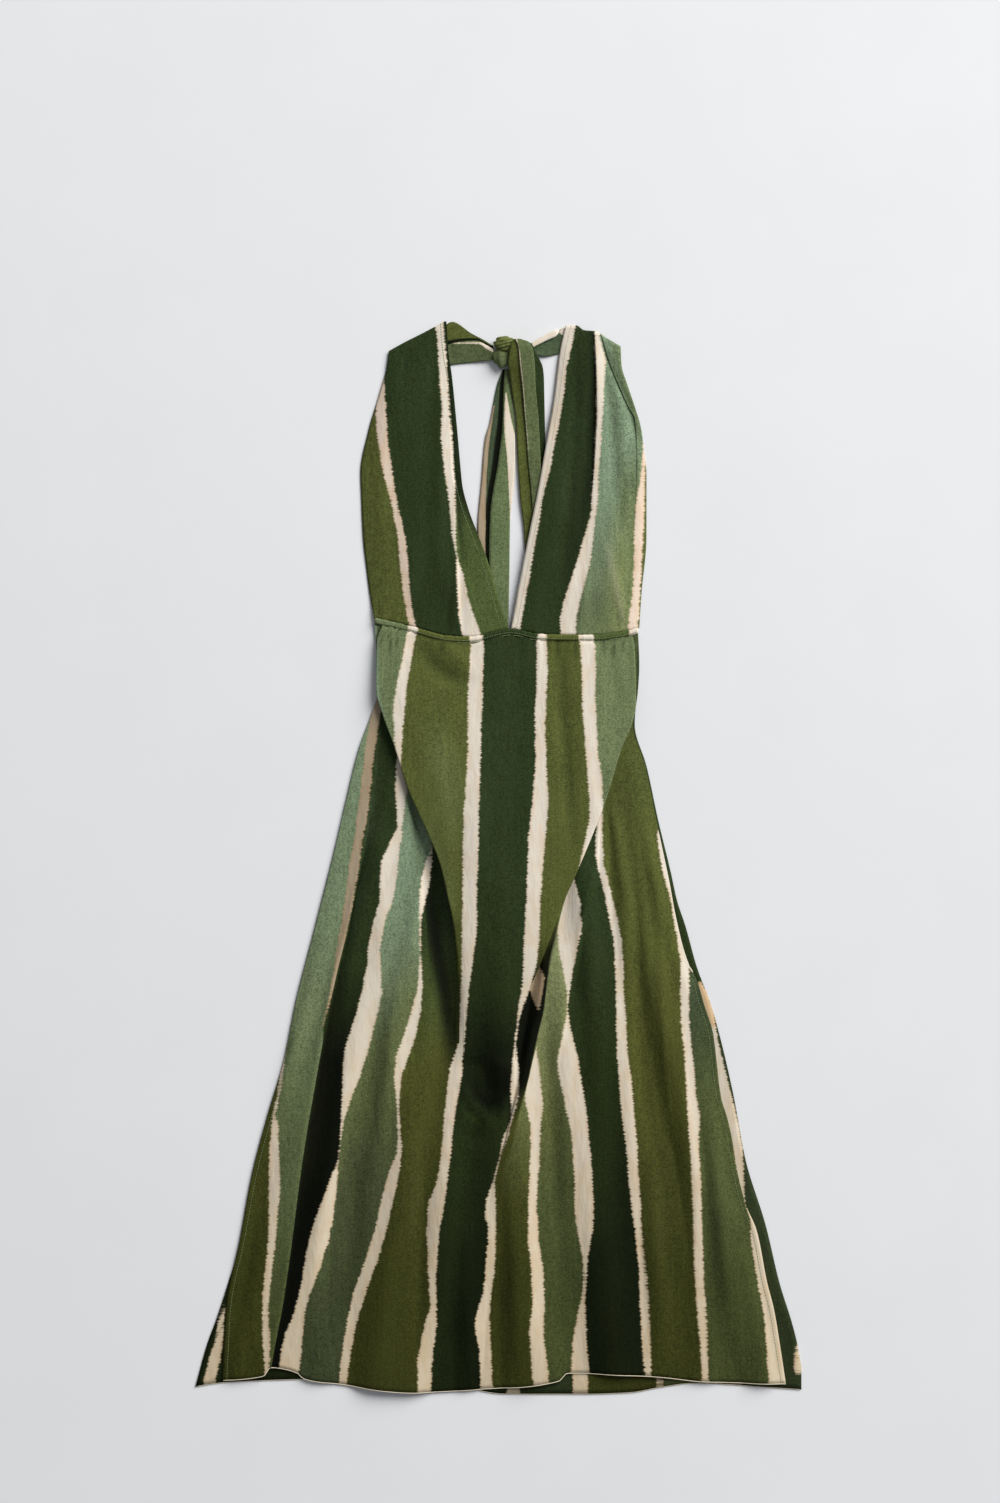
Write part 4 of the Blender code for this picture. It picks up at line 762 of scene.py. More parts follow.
        ("moss", 0.3, 4.5, anyLine, [(-36, -306), (-14, -318), (6, -310)]),
        ("black", 1, 3.4, (14.5, 17.2), [(71, -78), (65.5, -100), (60, -117), (55, -136)]),
        *(("deep", 0.6, 1.9, anyLine, [(x, y - 1), (x + lean, y - length)])
          for x, y, length, lean in puckers),
        ("leaf", 0.5, 16, (9, 10.6), [(-92, 30), (-76, -20), (-62, -70)]),
        ("black", 0.45, 22, (9, 14), [(-14, -190), (-12, -250), (-12, -296)]),
        ("deep", 0.35, 14, (16, 30), [(66, -200), (72, -340), (78, -420)]),
        ("deep", 0.35, 10, (16, 30), [(150, -250), (158, -400), (164, -600)]),
        ("deep", 0.15, 12, (3.4, 9), [(-214, -340), (-236, -450), (-250, -560)]),
        ("deep", 0.3, 12, (3.4, 9), [(-150, -300), (-166, -420), (-176, -560)]),
    ],
}


def skirtGrid(piece):
    x, y, z, place = foldedGrid(piece["lines"], piece["top"], piece["bottom"], piece["step"],
                                piece["rowStep"])
    y = (y + follow(x, y, piece["top"], besideWaist(-1), piece["topReach"])
         + follow(x, y, piece["bottom"], piece["hem"], piece["hemReach"]))
    fromWaist = smoothThrough(besideWaist(-1), x) - y
    fromSide = np.minimum(x - x[:, :1], x[:, -1:] - x)
    onTongue = between(place, piece["tongue"]) & (y > piece["tongueFoot"])
    gathered = np.clip(between(place, piece["gatherLines"]) + 0.25, 0, 1)
    z = addCreases(x, y, z, place, piece["creases"])
    z = z + drape(x, y, piece["drape"], piece["drapeTop"]) * np.where(onTongue, 0.3, 1.0) * np.clip(
        fromSide / piece["sideFade"], 0, 1)
    z = z - piece["settle"] * np.clip(fromWaist / piece["settleFade"], 0, 1)
    z = z + softWaves(x, y, piece["seed"], piece["waves"]) * np.clip(fromWaist / piece["waveFade"], 0, 1)
    z = z + gathers(x, fromWaist, *piece["gathers"]) * gathered
    return np.stack([x, y, np.maximum(z, piece["lowest"])], axis=-1), place


frontGrid, frontPlace = skirtGrid(frontSkirt)
frontCloth = clothMesh("skirtFrontCloth", frontGrid, frontSkirt["wall"], -1,
                       dyeAndShadeCloth(frontGrid, frontPlace, frontSkirt["stripes"], frontSkirt["shadeAndTintTones"]))
finishPiece(frontCloth, clothWarp, "skirt_front")
print("skirt front", frontGrid.shape, "cloth area", round(cutSize(frontGrid), 3))

# the back of the skirt is one plain layer under the front; left and right are its edges as (y, x)
backSkirt = {
    "top": 268, "bottom": -628, "step": 6.5, "columns": 110, "wall": 0.7, "flat": (0.74, 0.93),
    "area": 0.46, "topReach": 60, "hemReach": 90, "level": 0.5,
    "sideLift": (0.5, 10), "hemLift": (0.2, 14), "liftHem": -640,  # height and reach of each lift
    "hem": [(-364, -634), (-327, -629), (-200, -625), (-60, -632), (10, -643), (107, -643), (160, -641),
        (194, -635), (235, -630), (339, -636), (364, -637.6)],
    "left": [(269, -146), (202, -143), (130, -164), (70, -179), (10, -193), (-85, -217), (-170, -239),
        (-244, -254), (-304, -272), (-379, -292), (-459, -308), (-498, -320), (-554, -338), (-582, -349),
        (-632, -364)],
    "right": [(269, 168), (230, 169.5), (202, 168), (172, 164.5), (160, 164), (111, 178), (44, 192.5),
        (-20, 208), (-50, 214.5), (-82, 225), (-129, 238), (-181, 257), (-280, 281.6), (-364, 297.5),
        (-440, 321), (-507, 337), (-588, 361), (-607, 364), (-632, 364)],
    "stripes": {
        "outerCream": {"dye": "cream", "sides": [(-543.6, "dark", "dark")],
            "rows": [(-518.4, -326.4, -325.7), (-543.6, -333.6, -327.6), (-578.4, -339.6, -328.8),
                (-600, -347.2, -332.4), (-625.2, -352.8, -338.9), (-650.4, -355.2, -340.8)]},
        "hemCream": {"dye": "cream", "sides": [(-626.4, "dark", "teal")],
            "rows": [(-578.4, 9.6, 27), (-662.4, 9.6, 27)]},
        "hemThin": {"dye": "cream", "sides": [(-626.4, "teal", "olive")],
            "rows": [(-578.4, 90, 108), (-662.4, 89.4, 108)]},
        "hemSecond": {"dye": "cream", "sides": [(-626.4, "olive", "sage")],
            "rows": [(-578.4, 189.6, 199.2), (-662.4, 189.6, 199.2)]},
        "rightTan": {"dye": "tan", "sides": [(-153.6, "dark", "dark")],
            "rows": [(-146.4, 241.2, 242.4), (-153.6, 238.8, 247.2), (-176.4, 244.8, 256.8),
                (-199.2, 250.8, 261.6), (-206.4, 256.8, 259.2)]},
        "rightCream": {"dye": "cream", "sides": [(-207.6, "dark", "dark"), (-415.2, "teal", "teal")],
            "rows": [(-201.6, 256.8, 261.6), (-207.6, 242.4, 262.8), (-223.2, 242.4, 265.2),
                (-268.8, 256.8, 276), (-304.8, 264, 285.6), (-349.2, 276, 294), (-406.8, 284.4, 296.4),
                (-417.6, 294, 296.4)]},
        "rightSliver": {"dye": "cream", "sides": [(-588, "teal", "teal")],
            "rows": [(-580.8, 356.4, 357.1), (-588, 354.6, 362.4), (-615.6, 355.2, 366),
                (-624, 360, 361.2)]},
    },
}


def backGrid(piece):  # lies flat, and lifts by height * exp(-(distance / reach)^2) at its sides and hem
    rows = np.linspace(piece["top"], piece["bottom"], int((piece["top"] - piece["bottom"]) / piece["step"]))
    left, right = (smoothThrough(piece[side], rows)[:, None] for side in ("left", "right"))
    x = left + (right - left) * np.linspace(0, 1, piece["columns"])[None, :]
    y = np.broadcast_to(rows[:, None], x.shape)
    y = (y + follow(x, y, piece["top"], besideWaist(-1), piece["topReach"])
         + follow(x, y, piece["bottom"], piece["hem"], piece["hemReach"]))
    lift = np.zeros(x.shape)
    for name, distance in (("sideLift", np.minimum(x - left, right - x)), ("hemLift", y - piece["liftHem"])):
        height, reach = piece[name]
        lift = lift + height * np.exp(-(distance / reach) ** 2)
    return np.stack([x, y, piece["level"] + lift * (0.5 + 0.5 * np.sin(x / 9) * np.sin(y / 33))], axis=-1)


underGrid = backGrid(backSkirt)
backCloth = clothMesh("skirtBackCloth", underGrid, backSkirt["wall"], -1,
                      dyeAndShadeCloth(underGrid, np.zeros(backSkirt["columns"]), backSkirt["stripes"]))
finishPiece(backCloth, clothWarp, "skirt_back")
print("skirt back", underGrid.shape, "cloth area", round(cutSize(underGrid), 3))

# what the two halter panels share; gathers are size, pitch and reach
panel = {"bottom": 275, "step": 3.6, "wall": 0.7, "flat": (0.20, 0.37), "area": 0.048, "waistReach": 70,
         "edgeReach": 110, "waves": 0.4, "waistGathers": (0.6, 8.0, 15), "edgeGathers": (0.35, 11, 14),
         "waistFade": 40, "edgeFade": 30, "lowest": 0.6}
leftPanel = {
    "top": 625, "seed": 4.1,
    "edge": [(-131, 608), (-115, 617), (-90, 629.5), (-64, 643.5)],
    "lines": {
        "outerEdge": (2, [(275, -148.5, 3.9), (296, -152, 1.6), (340, -157, 0.7), (387, -162, 0.7),
            (432, -164, 0.7), (462, -165, 0.7), (514, -155, 0.7), (544, -147, 0.7), (574, -140, 0.9),
            (600, -134, 1.6), (625, -131, 2.9)]),
        "outerSwell": (14, [(275, -136, 4.9), (340, -143, 4), (432, -150, 4), (514, -142, 4.4),
            (574, -128, 4.4), (625, -121, 3.1)]),
        "darkEdge": (24, [(275, -105, 6.3), (340, -108, 7.4), (432, -120, 7), (514, -124, 7), (574, -116, 6),
            (625, -108, 3.3)]),
        "middle": (24, [(275, -74, 7.2), (340, -80, 9), (432, -90, 8.6), (514, -94, 8), (574, -90, 6.6),
            (625, -88, 3.6)]),
        "crest": (2.5, [(275, -43, 7.6), (294, -47, 8.8), (340, -49, 9.6), (365, -50, 9.6), (429, -50, 9.2),
            (466, -54.6, 8.6), (523, -57, 7.4), (597, -63, 5.2), (625, -66, 3.8)]),
        "crestFoot": (2.5, [(275, -40, 7.6), (294, -44, 7.4), (340, -46.5, 6.8), (429, -48, 5.8),
            (466, -53, 4.4), (523, -55.6, 3), (588, -61, 3), (625, -63.6, 3.4)]),
        "hemLine": (5, [(275, 0, 8), (322, -15, 6.8), (364, -26, 6.4), (417, -43, 5.6), (468, -49, 3.6),
            (523, -53, 2.4), (588, -60, 2.7), (625, -62.8, 3.2)]),
        "vEdge": (2, [(275, 12.4, 8.1), (322, -2, 6.6), (364, -15, 6.2), (393, -26, 5.4), (417, -35, 4.6),
            (448, -43, 3), (468, -45, 2.4), (524, -50, 1.8), (573, -56, 2), (588, -59, 2.5), (625, -62, 3)]),
    },
    "creases": [
        (-1.6, 4, anyLine, [(-62, 275), (-58, 310), (-54, 350)]),
        (1.2, 9, anyLine, [(-100, 285), (-104, 340), (-112, 400)]),
        (-1.1, 8, anyLine, [(-82, 300), (-86, 400), (-84, 500), (-80, 580)]),
        (1, 5, anyLine, [(-70, 330), (-68, 430), (-68, 540), (-72, 610)]),
        (1, 7, anyLine, [(-134, 330), (-140, 430), (-136, 520)]),
        (-1.6, 4, anyLine, [(-114, 617), (-122, 607), (-133, 600)]),
        (-1, 6, anyLine, [(-106, 624), (-112, 590), (-118, 556)]),
        (-0.9, 7, anyLine, [(-78, 634), (-76, 600), (-76, 560)]),
        (1.2, 5, anyLine, [(-30, 285), (-34, 310), (-38, 340)]),
    ],
    "stripes": {
        "outerCream": {"dye": "creamPink", "sides": [(591.6, "olive", "dark"), (285.6, "olive", "dark")],
            "rows": [(621.6, -134.4, -133.2), (591.6, -138, -136.1), (559.2, -144.5, -135.6),
                (543.6, -147.2, -134.4), (511.2, -145.4, -132.7), (477.6, -140.9, -128.4),
                (450, -134.8, -124.8), (427.2, -128.6, -120.5), (405.6, -124.1, -115.7),
                (382.8, -120.2, -110.4), (361.2, -118.8, -108), (334.8, -115.6, -106.6),
                (315.6, -114, -104.4), (297.6, -110.4, -102.6), (280.2, -107.2, -98.8),
                (261.6, -104.4, -96)]},
        # deep on the stripe's right is painted shade on the turned-back neckline strip
        "innerCream": {"dye": "cream",
            "sides": [(637.2, "dark", "deep"), (435.6, "dark", "deep"), (393.6, "dark", "moss"),
                (357.6, "dark", "moss")],
            "rows": [(651.6, -76.1, -65.5), (637.2, -75.6, -64.8), (614.4, -72.5, -63.4),
                (590.4, -71.3, -61.6), (566.4, -70.1, -60), (535.2, -67.7, -57.6), (504, -68.4, -55.2),
                (469.2, -65, -52.8), (447.6, -62, -51.1), (423.6, -58.8, -50.4), (400.8, -56.6, -50.4),
                (386.4, -55.2, -50.2), (370.8, -52.1, -49.8), (362.4, -50.4, -49.2)]},
        "hemCream": {"dye": "cream",
            "sides": [(375.6, "dark", "moss"), (321.6, "dark", "moss"), (267.6, "dark", "moss")],
            "rows": [(361.2, -48.7, -47.5), (355.2, -50.4, -46.8), (339.6, -50, -41.4),
                (316.8, -49.2, -36.8), (297.6, -48, -30.7), (289.2, -47.5, -27.6), (280.2, -45.6, -24.5),
                (261.6, -41.3, -18)]},
    },
    # painted shadow along the V edge's inner strip and under the fold, and painted shade near the waist
    "shadeAndTintTones": [
        ("black", 0.7, 4.5, (4.6, 9), [(-60, 640), (-58, 520), (-50, 420), (-40, 360)]),
        ("black", 0.75, 6, (5.03, 9), [(-45, 460), (-37, 426), (-27, 399), (-15, 370)]),
        ("deep", 0.6, 7, (2.5, 4.4), [(-64, 340), (-60, 300), (-56, 276)]),
    ],
}

rightPanel = {
    "top": 628, "seed": 2.6,
    "edge": [(81, 638.8), (94, 638.8), (103, 633), (117, 631.6), (130, 623.6), (147, 613.6)],
    "lines": {
        "vEdge": (2, [(275, 15.8, 8.1), (300, 20, 6.6), (380, 35.4, 6.4), (442, 48, 6.4), (495, 57.5, 6.2),
            (550, 67.2, 3), (597, 74, 2.5), (628, 81, 2.9)]),
        "vSide": (14, [(275, 28, 8), (380, 50, 8), (442, 62, 8), (495, 70, 7.6), (550, 79, 6),
            (603, 86, 4.6), (628, 92, 3.6)]),
        "darkPlain": (24, [(275, 62, 7.4), (380, 80, 8), (442, 92, 7.4), (495, 97, 6.6), (550, 101, 5.4),
            (603, 103, 4.4), (628, 104, 3.8)]),
        "firstTuck": (2, [(275, 96, 7), (358, 105, 7.3), (412, 108.8, 7.8), (440, 114, 6.8), (500, 120, 3),
            (550, 121, 2.6), (590, 120, 2.4), (628, 117, 3.2)]),
        "firstCrest": (2.5, [(275, 98, 7), (358, 106, 7.4), (412, 109.5, 8), (440, 112, 8.2), (500, 116, 8),
            (534, 117.4, 7.6), (590, 116.6, 6.6), (628, 114.4, 4.6)]),
        "sageSwell": (24, [(275, 128, 6.6), (340, 133, 8.6), (440, 136, 8.4), (500, 134, 8), (550, 130, 7),
            (590, 124.6, 5.6), (628, 119, 4)]),
        "secondTuck": (2, [(275, 152, 5.6), (386, 162, 4.6), (480, 166, 3.4), (527, 165, 2.6),
            (541, 159.5, 2.6), (573, 147.5, 2.6), (603, 134.6, 2.7), (628, 125, 3.1)]),
        "secondCrest": (2.5, [(275, 153.5, 5.5), (386, 163.6, 4.8), (480, 167, 4.6), (527, 163.4, 5),
            (541, 156.4, 5.4), (573, 144.2, 5.4), (603, 131.6, 5), (628, 122.6, 4.4)]),
        "outerEdge": (2, [(275, 169.3, 3.9), (317, 172, 0.9), (386, 178, 0.7), (462, 178, 0.7),
            (479, 176, 0.7), (513, 172, 0.7), (544, 164, 0.7), (575, 155.4, 0.9), (605, 148, 1.8),
            (628, 147, 2.9)]),
    },
    "creases": [
        (1.6, 5, anyLine, [(125, 386), (137, 343), (144, 317), (153, 275)]),
        (1, 6, anyLine, [(40, 285), (50, 340), (60, 400)]),
        (-1.2, 6, anyLine, [(72, 330), (82, 420), (92, 520), (98, 610)]),
        (1, 5, anyLine, [(84, 300), (92, 400), (100, 500), (104, 600)]),
        (-1.3, 6, anyLine, [(130, 400), (138, 470), (134, 540), (124, 600)]),
        (1.1, 6, anyLine, [(146, 300), (152, 380), (154, 460), (150, 520)]),
        (-0.8, 7, anyLine, [(92, 632), (94, 600), (97, 560)]),
        (-2.6, 6, anyLine, [(128, 610), (143, 578), (157, 545), (169, 502)]),
        (-1.6, 5, anyLine, [(153, 500), (155, 460), (150, 424)]),
        (1.6, 6, anyLine, [(133, 437), (139, 397), (132, 371)]),
        (1.3, 5, anyLine, [(106, 280), (104, 310), (106, 345)]),
        (0.9, 4, anyLine, [(166, 300), (170, 380), (170, 450)]),
    ],
    "stripes": {
        "vCream": {"dye": "cream",
            "sides": [(630, "olive", "dark"), (453.6, "moss", "dark"), (278.4, "moss", "dark")],
            "rows": [(645.6, 70.8, 94.8), (630, 66, 92.4), (589.2, 55.9, 82.8), (547.2, 50.4, 77.6),
                (519.6, 46.3, 73.2), (486, 39.6, 66.6), (470.4, 36.7, 64.1), (444, 30, 56.4),
                (379.7, 19.2, 45.6), (328.8, 10.1, 36.6), (278.4, 0.7, 27.4), (261.6, -2.4, 24.7)]},
        "firstCream": {"dye": "cream",
            "sides": [(628.8, "dark", "sageLight"), (453.6, "dark", "sageLight"), (273.6, "dark", "sage")],
            "rows": [(643.2, 115.2, 120), (628.8, 115.2, 121.4), (615.6, 115.7, 124.8),
                (598.8, 116.6, 129.6), (580.8, 117.4, 128.4), (561.6, 117.6, 127.2), (534, 117.6, 126),
                (506.4, 116.3, 124.4), (470.4, 114.2, 121.6), (439.2, 112.2, 120.7), (416.4, 111.6, 118.3),
                (393.6, 105.6, 115.9), (373.2, 99.6, 113.5), (351.6, 93.2, 109.9), (327.6, 85.2, 103.9),
                (307.2, 78, 98.4), (286.8, 74, 93.6), (270, 74.9, 92.4), (255.6, 75.6, 92.4)]},
        "outerCream": {"dye": "creamPink",
            "sides": [(486, "sageLight", "olive"), (357.6, "leaf", "olive"), (276, "leaf", "olive")],
            "rows": [(501.6, 174, 175.2), (486, 172.8, 177.6), (454.8, 169.7, 176.6), (423.6, 165.1, 175.8),
                (386.4, 162.8, 174.4), (348, 162, 172.8), (316.8, 160.6, 170.9), (286.8, 156.7, 168.7),
                (271.2, 155.2, 167.5), (255.6, 154.2, 166.8)]},
    },
    # painted shadow beside the fold crests, painted shade in the creases and a painted highlight along one
    # crease
    "shadeAndTintTones": [
        ("black", 0.75, 7, (-1, 3.6), [(116, 640), (118, 560), (117, 470), (110, 420)]),
        ("black", 0.35, 5, (-1, 3.6), [(92, 620), (95, 580), (97, 540)]),
        ("black", 0.7, 6, (-1, 3.6), [(96, 340), (92, 310), (90, 276)]),
        ("sageLow", 0.9, 10, (6.6, 9), [(140, 626), (152, 590), (164, 550), (172, 500)]),
        ("teal", 0.6, 7, anyLine, [(128, 600), (141, 540), (146, 470), (150, 400)]),
        ("sageLow", 0.75, 9, anyLine, [(168, 490), (162, 430), (160, 360), (154, 285)]),
        ("black", 0.5, 12, (-1, 3.6), [(112, 632), (113, 560), (107, 470), (98, 400), (90, 340), (86, 285)]),
        ("dark", 0.75, 3.5, anyLine, [(127, 612), (143, 578), (158, 545), (170, 500)]),
        ("moss", 0.4, 5, anyLine, [(150, 480), (152, 440), (148, 400)]),
        ("teal", 0.35, 14, anyLine, [(116, 330), (122, 300), (124, 277)]),
        ("creamPink", 0.16, 3.5, anyLine, [(130, 380), (139, 335), (152, 278)]),
    ],
}


def panelGrid(piece):
    x, y, z, place = foldedGrid(piece["lines"], panel["bottom"], piece["top"], panel["step"], panel["step"])
    y = (y + follow(x, y, panel["bottom"], besideWaist(1), panel["waistReach"])
         + follow(x, y, piece["top"], piece["edge"], panel["edgeReach"]))
    fromWaist = y - smoothThrough(besideWaist(1), x)
    fromTop = smoothThrough(piece["edge"], x) - y
    z = addCreases(x, y, z, place, piece["creases"])
    inside = np.clip(fromWaist / panel["waistFade"], 0, 1) * np.clip(fromTop / panel["edgeFade"], 0, 1)
    z = z + softWaves(x, y, piece["seed"], panel["waves"]) * inside
    z = (z + gathers(x, fromWaist, *panel["waistGathers"])
         + gathers(x + 3, fromTop, *panel["edgeGathers"]))
    return np.stack([x, y, np.maximum(z, panel["lowest"])], axis=-1), place


panelPieces = {}
for title, piece, node in (("halterLeftCloth", leftPanel, "halter_panel_left"),
                           ("halterRightCloth", rightPanel, "halter_panel_right")):
    grid, place = panelGrid(piece)
    cloth = clothMesh(title, grid, panel["wall"], 1, dyeAndShadeCloth(grid, place, piece["stripes"], piece["shadeAndTintTones"]))
    finishPiece(cloth, clothWarp, node)
    panelPieces[title] = grid
    print(title, grid.shape, "cloth area", round(cutSize(grid), 4))

casing = {
    "points": 330, "around": 26, "end": 0.4, "taper": 2.2, "flat": (0.325, 0.0105),
    "pitch": 7.4, "pucker": 0.10, "ripple": 0.04,  # pitch in mm, and shares of the size that they add
    "tightest": 8, "spread": 60,  # x where the puckers are strongest, and how far that reaches
    "dent": 0.5, "dentTurn": 205, "dentSpread": 28,  # depth, and place round the ring in degrees
}


def casingGrid(piece):
    # rings of an oval, pulled in at each pucker, along the waist line; both ends close to a point
    x = np.linspace(waist["line"][0][0] + piece["end"], waist["line"][-1][0] - piece["end"], piece["points"])
    y, z = smoothThrough(waist["line"], x), smoothThrough(waist["height"], x)
    turn = np.linspace(0, 2 * math.pi, piece["around"], endpoint=False)
    pucker = np.sin(2 * math.pi * (x / piece["pitch"] + 0.5 * np.sin(x / 15.1) + 0.3 * np.sin(x / 6.7)))
    strong = 0.35 + 0.65 * np.exp(-((x - piece["tightest"]) / piece["spread"]) ** 2)
    size = 1 + piece["pucker"] * pucker * strong + piece["ripple"] * np.sin(x / 3.3)
    size = size * np.sqrt(np.clip(np.minimum(x - x[0], x[-1] - x) / piece["taper"], 0.0, 1))
    ringY = np.cos(turn)[None, :] * (waist["width"] / 2 * size)[:, None]
    ringZ = np.sin(turn)[None, :] * (waist["depth"] / 2 * size)[:, None]
    dent = (np.exp(-((np.degrees(turn) - piece["dentTurn"]) / piece["dentSpread"]) ** 2)[None, :]
            * (strong * piece["dent"])[:, None])
    return np.stack([np.broadcast_to(x[:, None], ringY.shape), y[:, None] + ringY,
                     z[:, None] + ringZ - dent], axis=-1)


# the casing takes the tongue's stripes, with their sides of painted shade
casingStripes = {key: {part: frontSkirt["stripes"][key][part] for part in ("dye", "sides", "rows")}
                 for key in ("tongueFirst", "tongueSecond", "tongueThird", "tongueFourth")}
casingStripes["tongueFourth"]["sides"] = [(262, "olive", "moss")]
casingStripes["end"] = {"dye": "cream", "sides": [(262, "moss", "moss")],
                        "rows": [(200, 157, 180), (300, 157, 180)]}
tunnel = casingGrid(casing)
casingCloth = ringMesh("waistCasingCloth", tunnel,
                       dyeAndShadeCloth(tunnel, np.zeros(casing["around"]), casingStripes))
finishPiece(casingCloth, clothWarp, "waist_casing")
print("waist casing")

# the straps beside the knot and the two hanging ends: a line's rows are (x, y, z) on the straps and
# (y, x, z) on the ends
ties = {
    "step": 2.4, "wall": 0.7,
    "leftStrap": {
        "lowerEdge": (1, [(-125, 598, 0.7), (-100, 594, 0.7), (-66, 590, 0.7), (-57, 591.4, 0.7),
            (-32, 594.5, 1.6), (-6.4, 597, 4.2)]),
        "band": (6, [(-125, 600, 0.7), (-100, 602, 0.7), (-66, 604, 0.7), (-57, 605, 0.9), (-50, 606, 2.4),
            (-32, 608, 4.4), (-6.4, 603.5, 6)]),
        "rim": (1.6, [(-125, 601.6, 0.7), (-100, 608, 0.7), (-66, 612.6, 0.7), (-58, 614, 0.9),
            (-52, 616.4, 3), (-32, 618.4, 4.8), (-25, 618.4, 5.2), (-14, 613.6, 6), (-6.4, 609.6, 6.4)]),
        "rimFoot": (1.6, [(-125, 602.8, 0.7), (-100, 612, 0.7), (-66, 617, 0.7), (-58, 618.4, 0.7),
            (-52, 619.4, 0.8), (-32, 621.6, 1.4), (-25, 621.4, 2), (-14, 616, 3.8), (-6.4, 611.6, 5)]),
        "flapEdge": (1, [(-125, 604.4, 0.7), (-100, 617, 0.7), (-66, 634, 0.7), (-60, 641.6, 0.7),
            (-55, 643.3, 0.7), (-32, 629.4, 1.2), (-14, 619.4, 3.4), (-6.4, 614, 4.6)]),
    },
    "rightStrap": {
        "lowerEdge": (1, [(40.8, 604.5, 4), (56, 601.6, 2), (75, 605, 0.7), (84, 606, 0.7), (110, 603, 0.7),
            (140, 605, 0.7)]),
        "lowerMiddle": (5, [(40.8, 607, 4.2), (56, 609, 2.4), (75, 616, 0.9), (84, 614, 0.7),
            (110, 611, 0.7), (140, 608, 0.7)]),
        "topFoldLow": (1.2, [(40.8, 617, 4.4), (59, 628.4, 2.2), (70, 633.4, 1.2), (77, 629, 0.7),
            (84, 625, 0.7), (110, 619, 0.7), (140, 611, 0.7)]),
        "topFoldHigh": (1.2, [(40.8, 617, 6.9), (59, 628.4, 4.7), (70, 633.4, 3.4), (77, 632.8, 0.7),
            (84, 630, 0.7), (110, 622, 0.7), (140, 612.4, 0.7)]),
        "flapEdge": (1, [(40.8, 611.4, 7), (59, 620.8, 5), (70, 626, 3.8), (77, 636.6, 0.7), (84, 634, 0.7),
            (110, 625, 0.7), (140, 614, 0.7)]),
    },
    "leftEnd": {
        "leftEdge": (1, [(584, 5, 1.2), (568, -1, 0.7), (545, -5.6, 0.7), (522, -10, 0.7), (502, -15.7, 0.7),
            (452, -20, 0.7), (393, -24.6, 0.7), (310, -23, 0.7), (272, -22, 2.5), (238, -21, 2.5)]),
        "stepFoot": (1.6, [(584, 7, 1.3), (568, 5.4, 0.8), (522, 4, 0.7), (478, -1, 0.7), (414, -10.6, 0.7),
            (371, -12, 0.7), (310, -12, 0.7), (272, -12, 2.5), (238, -12, 2.5)]),
        "crease": (1.6, [(584, 9.6, 3.4), (568, 9, 3.4), (522, 7.6, 3.4), (478, 2.6, 3.2), (414, -7, 3),
            (371, -8.6, 3), (310, -9, 2.8), (272, -9, 4.6), (238, -9, 4.4)]),
        "rightEdge": (1, [(584, 13.8, 2.8), (563, 16, 2), (502, 20.4, 1.6), (478, 20.4, 1.4), (440, 18, 1.2),
            (401, 14.3, 1.2), (340, 13.6, 1.2), (310, 13, 1.4), (272, 12.4, 3.2), (238, 11.4, 3.2)]),
    },
    "rightEnd": {
        "oliveEdge": (1, [(621, 18, 15), (607, 14, 14.4), (594, 12, 12), (581, 13.5, 8), (563, 16, 4.6),
            (527, 21, 2.8), (478, 23.4, 2.4), (432, 26.4, 2.4), (393, 31, 2.4), (310, 34, 2.4)]),
        "oliveTuck": (1.2, [(621, 22, 15.2), (614, 26.6, 15.2), (591, 30.4, 11), (563, 34, 5),
            (531, 36.4, 3), (478, 41, 2.6), (393, 46, 2.4), (310, 47, 2.4)]),
        "crest": (1.4, [(621, 19.6, 17), (614, 23.4, 17.4), (591, 26, 13.6), (563, 29, 8), (531, 31.4, 5.6),
            (502, 34, 5), (478, 35.6, 4.8), (442, 39.2, 4.6), (393, 42, 4.4), (310, 43, 4.4)]),
        "bandRight": (1.6, [(621, 26, 16.6), (618, 35, 15.8), (614, 40, 15), (605, 42.8, 13.4),
            (591, 44.4, 10.4), (563, 45.6, 6.8), (527, 49, 5.2), (478, 51.4, 4.8), (393, 54, 4.4),
            (310, 55, 4.4)]),
        "underTurn": (1, [(621, 25.4, 14.6), (618, 33, 13.8), (614, 38, 13), (605, 40.4, 10.6), (591, 41, 6),
            (563, 41, 2), (545, 42, 0.8), (527, 43, 0.7), (478, 46, 0.7), (393, 50, 0.7), (310, 51, 0.7)]),
        "darkEdge": (24, [(621, 27.6, 14.4), (618, 36.6, 13.4), (614, 41.4, 12), (605, 44.8, 9),
            (599, 48.8, 6), (591, 53, 3), (577, 55, 1), (563, 55.4, 0.7), (502, 56.6, 0.7), (393, 58, 0.7),
            (310, 58, 0.7)]),
    },
}
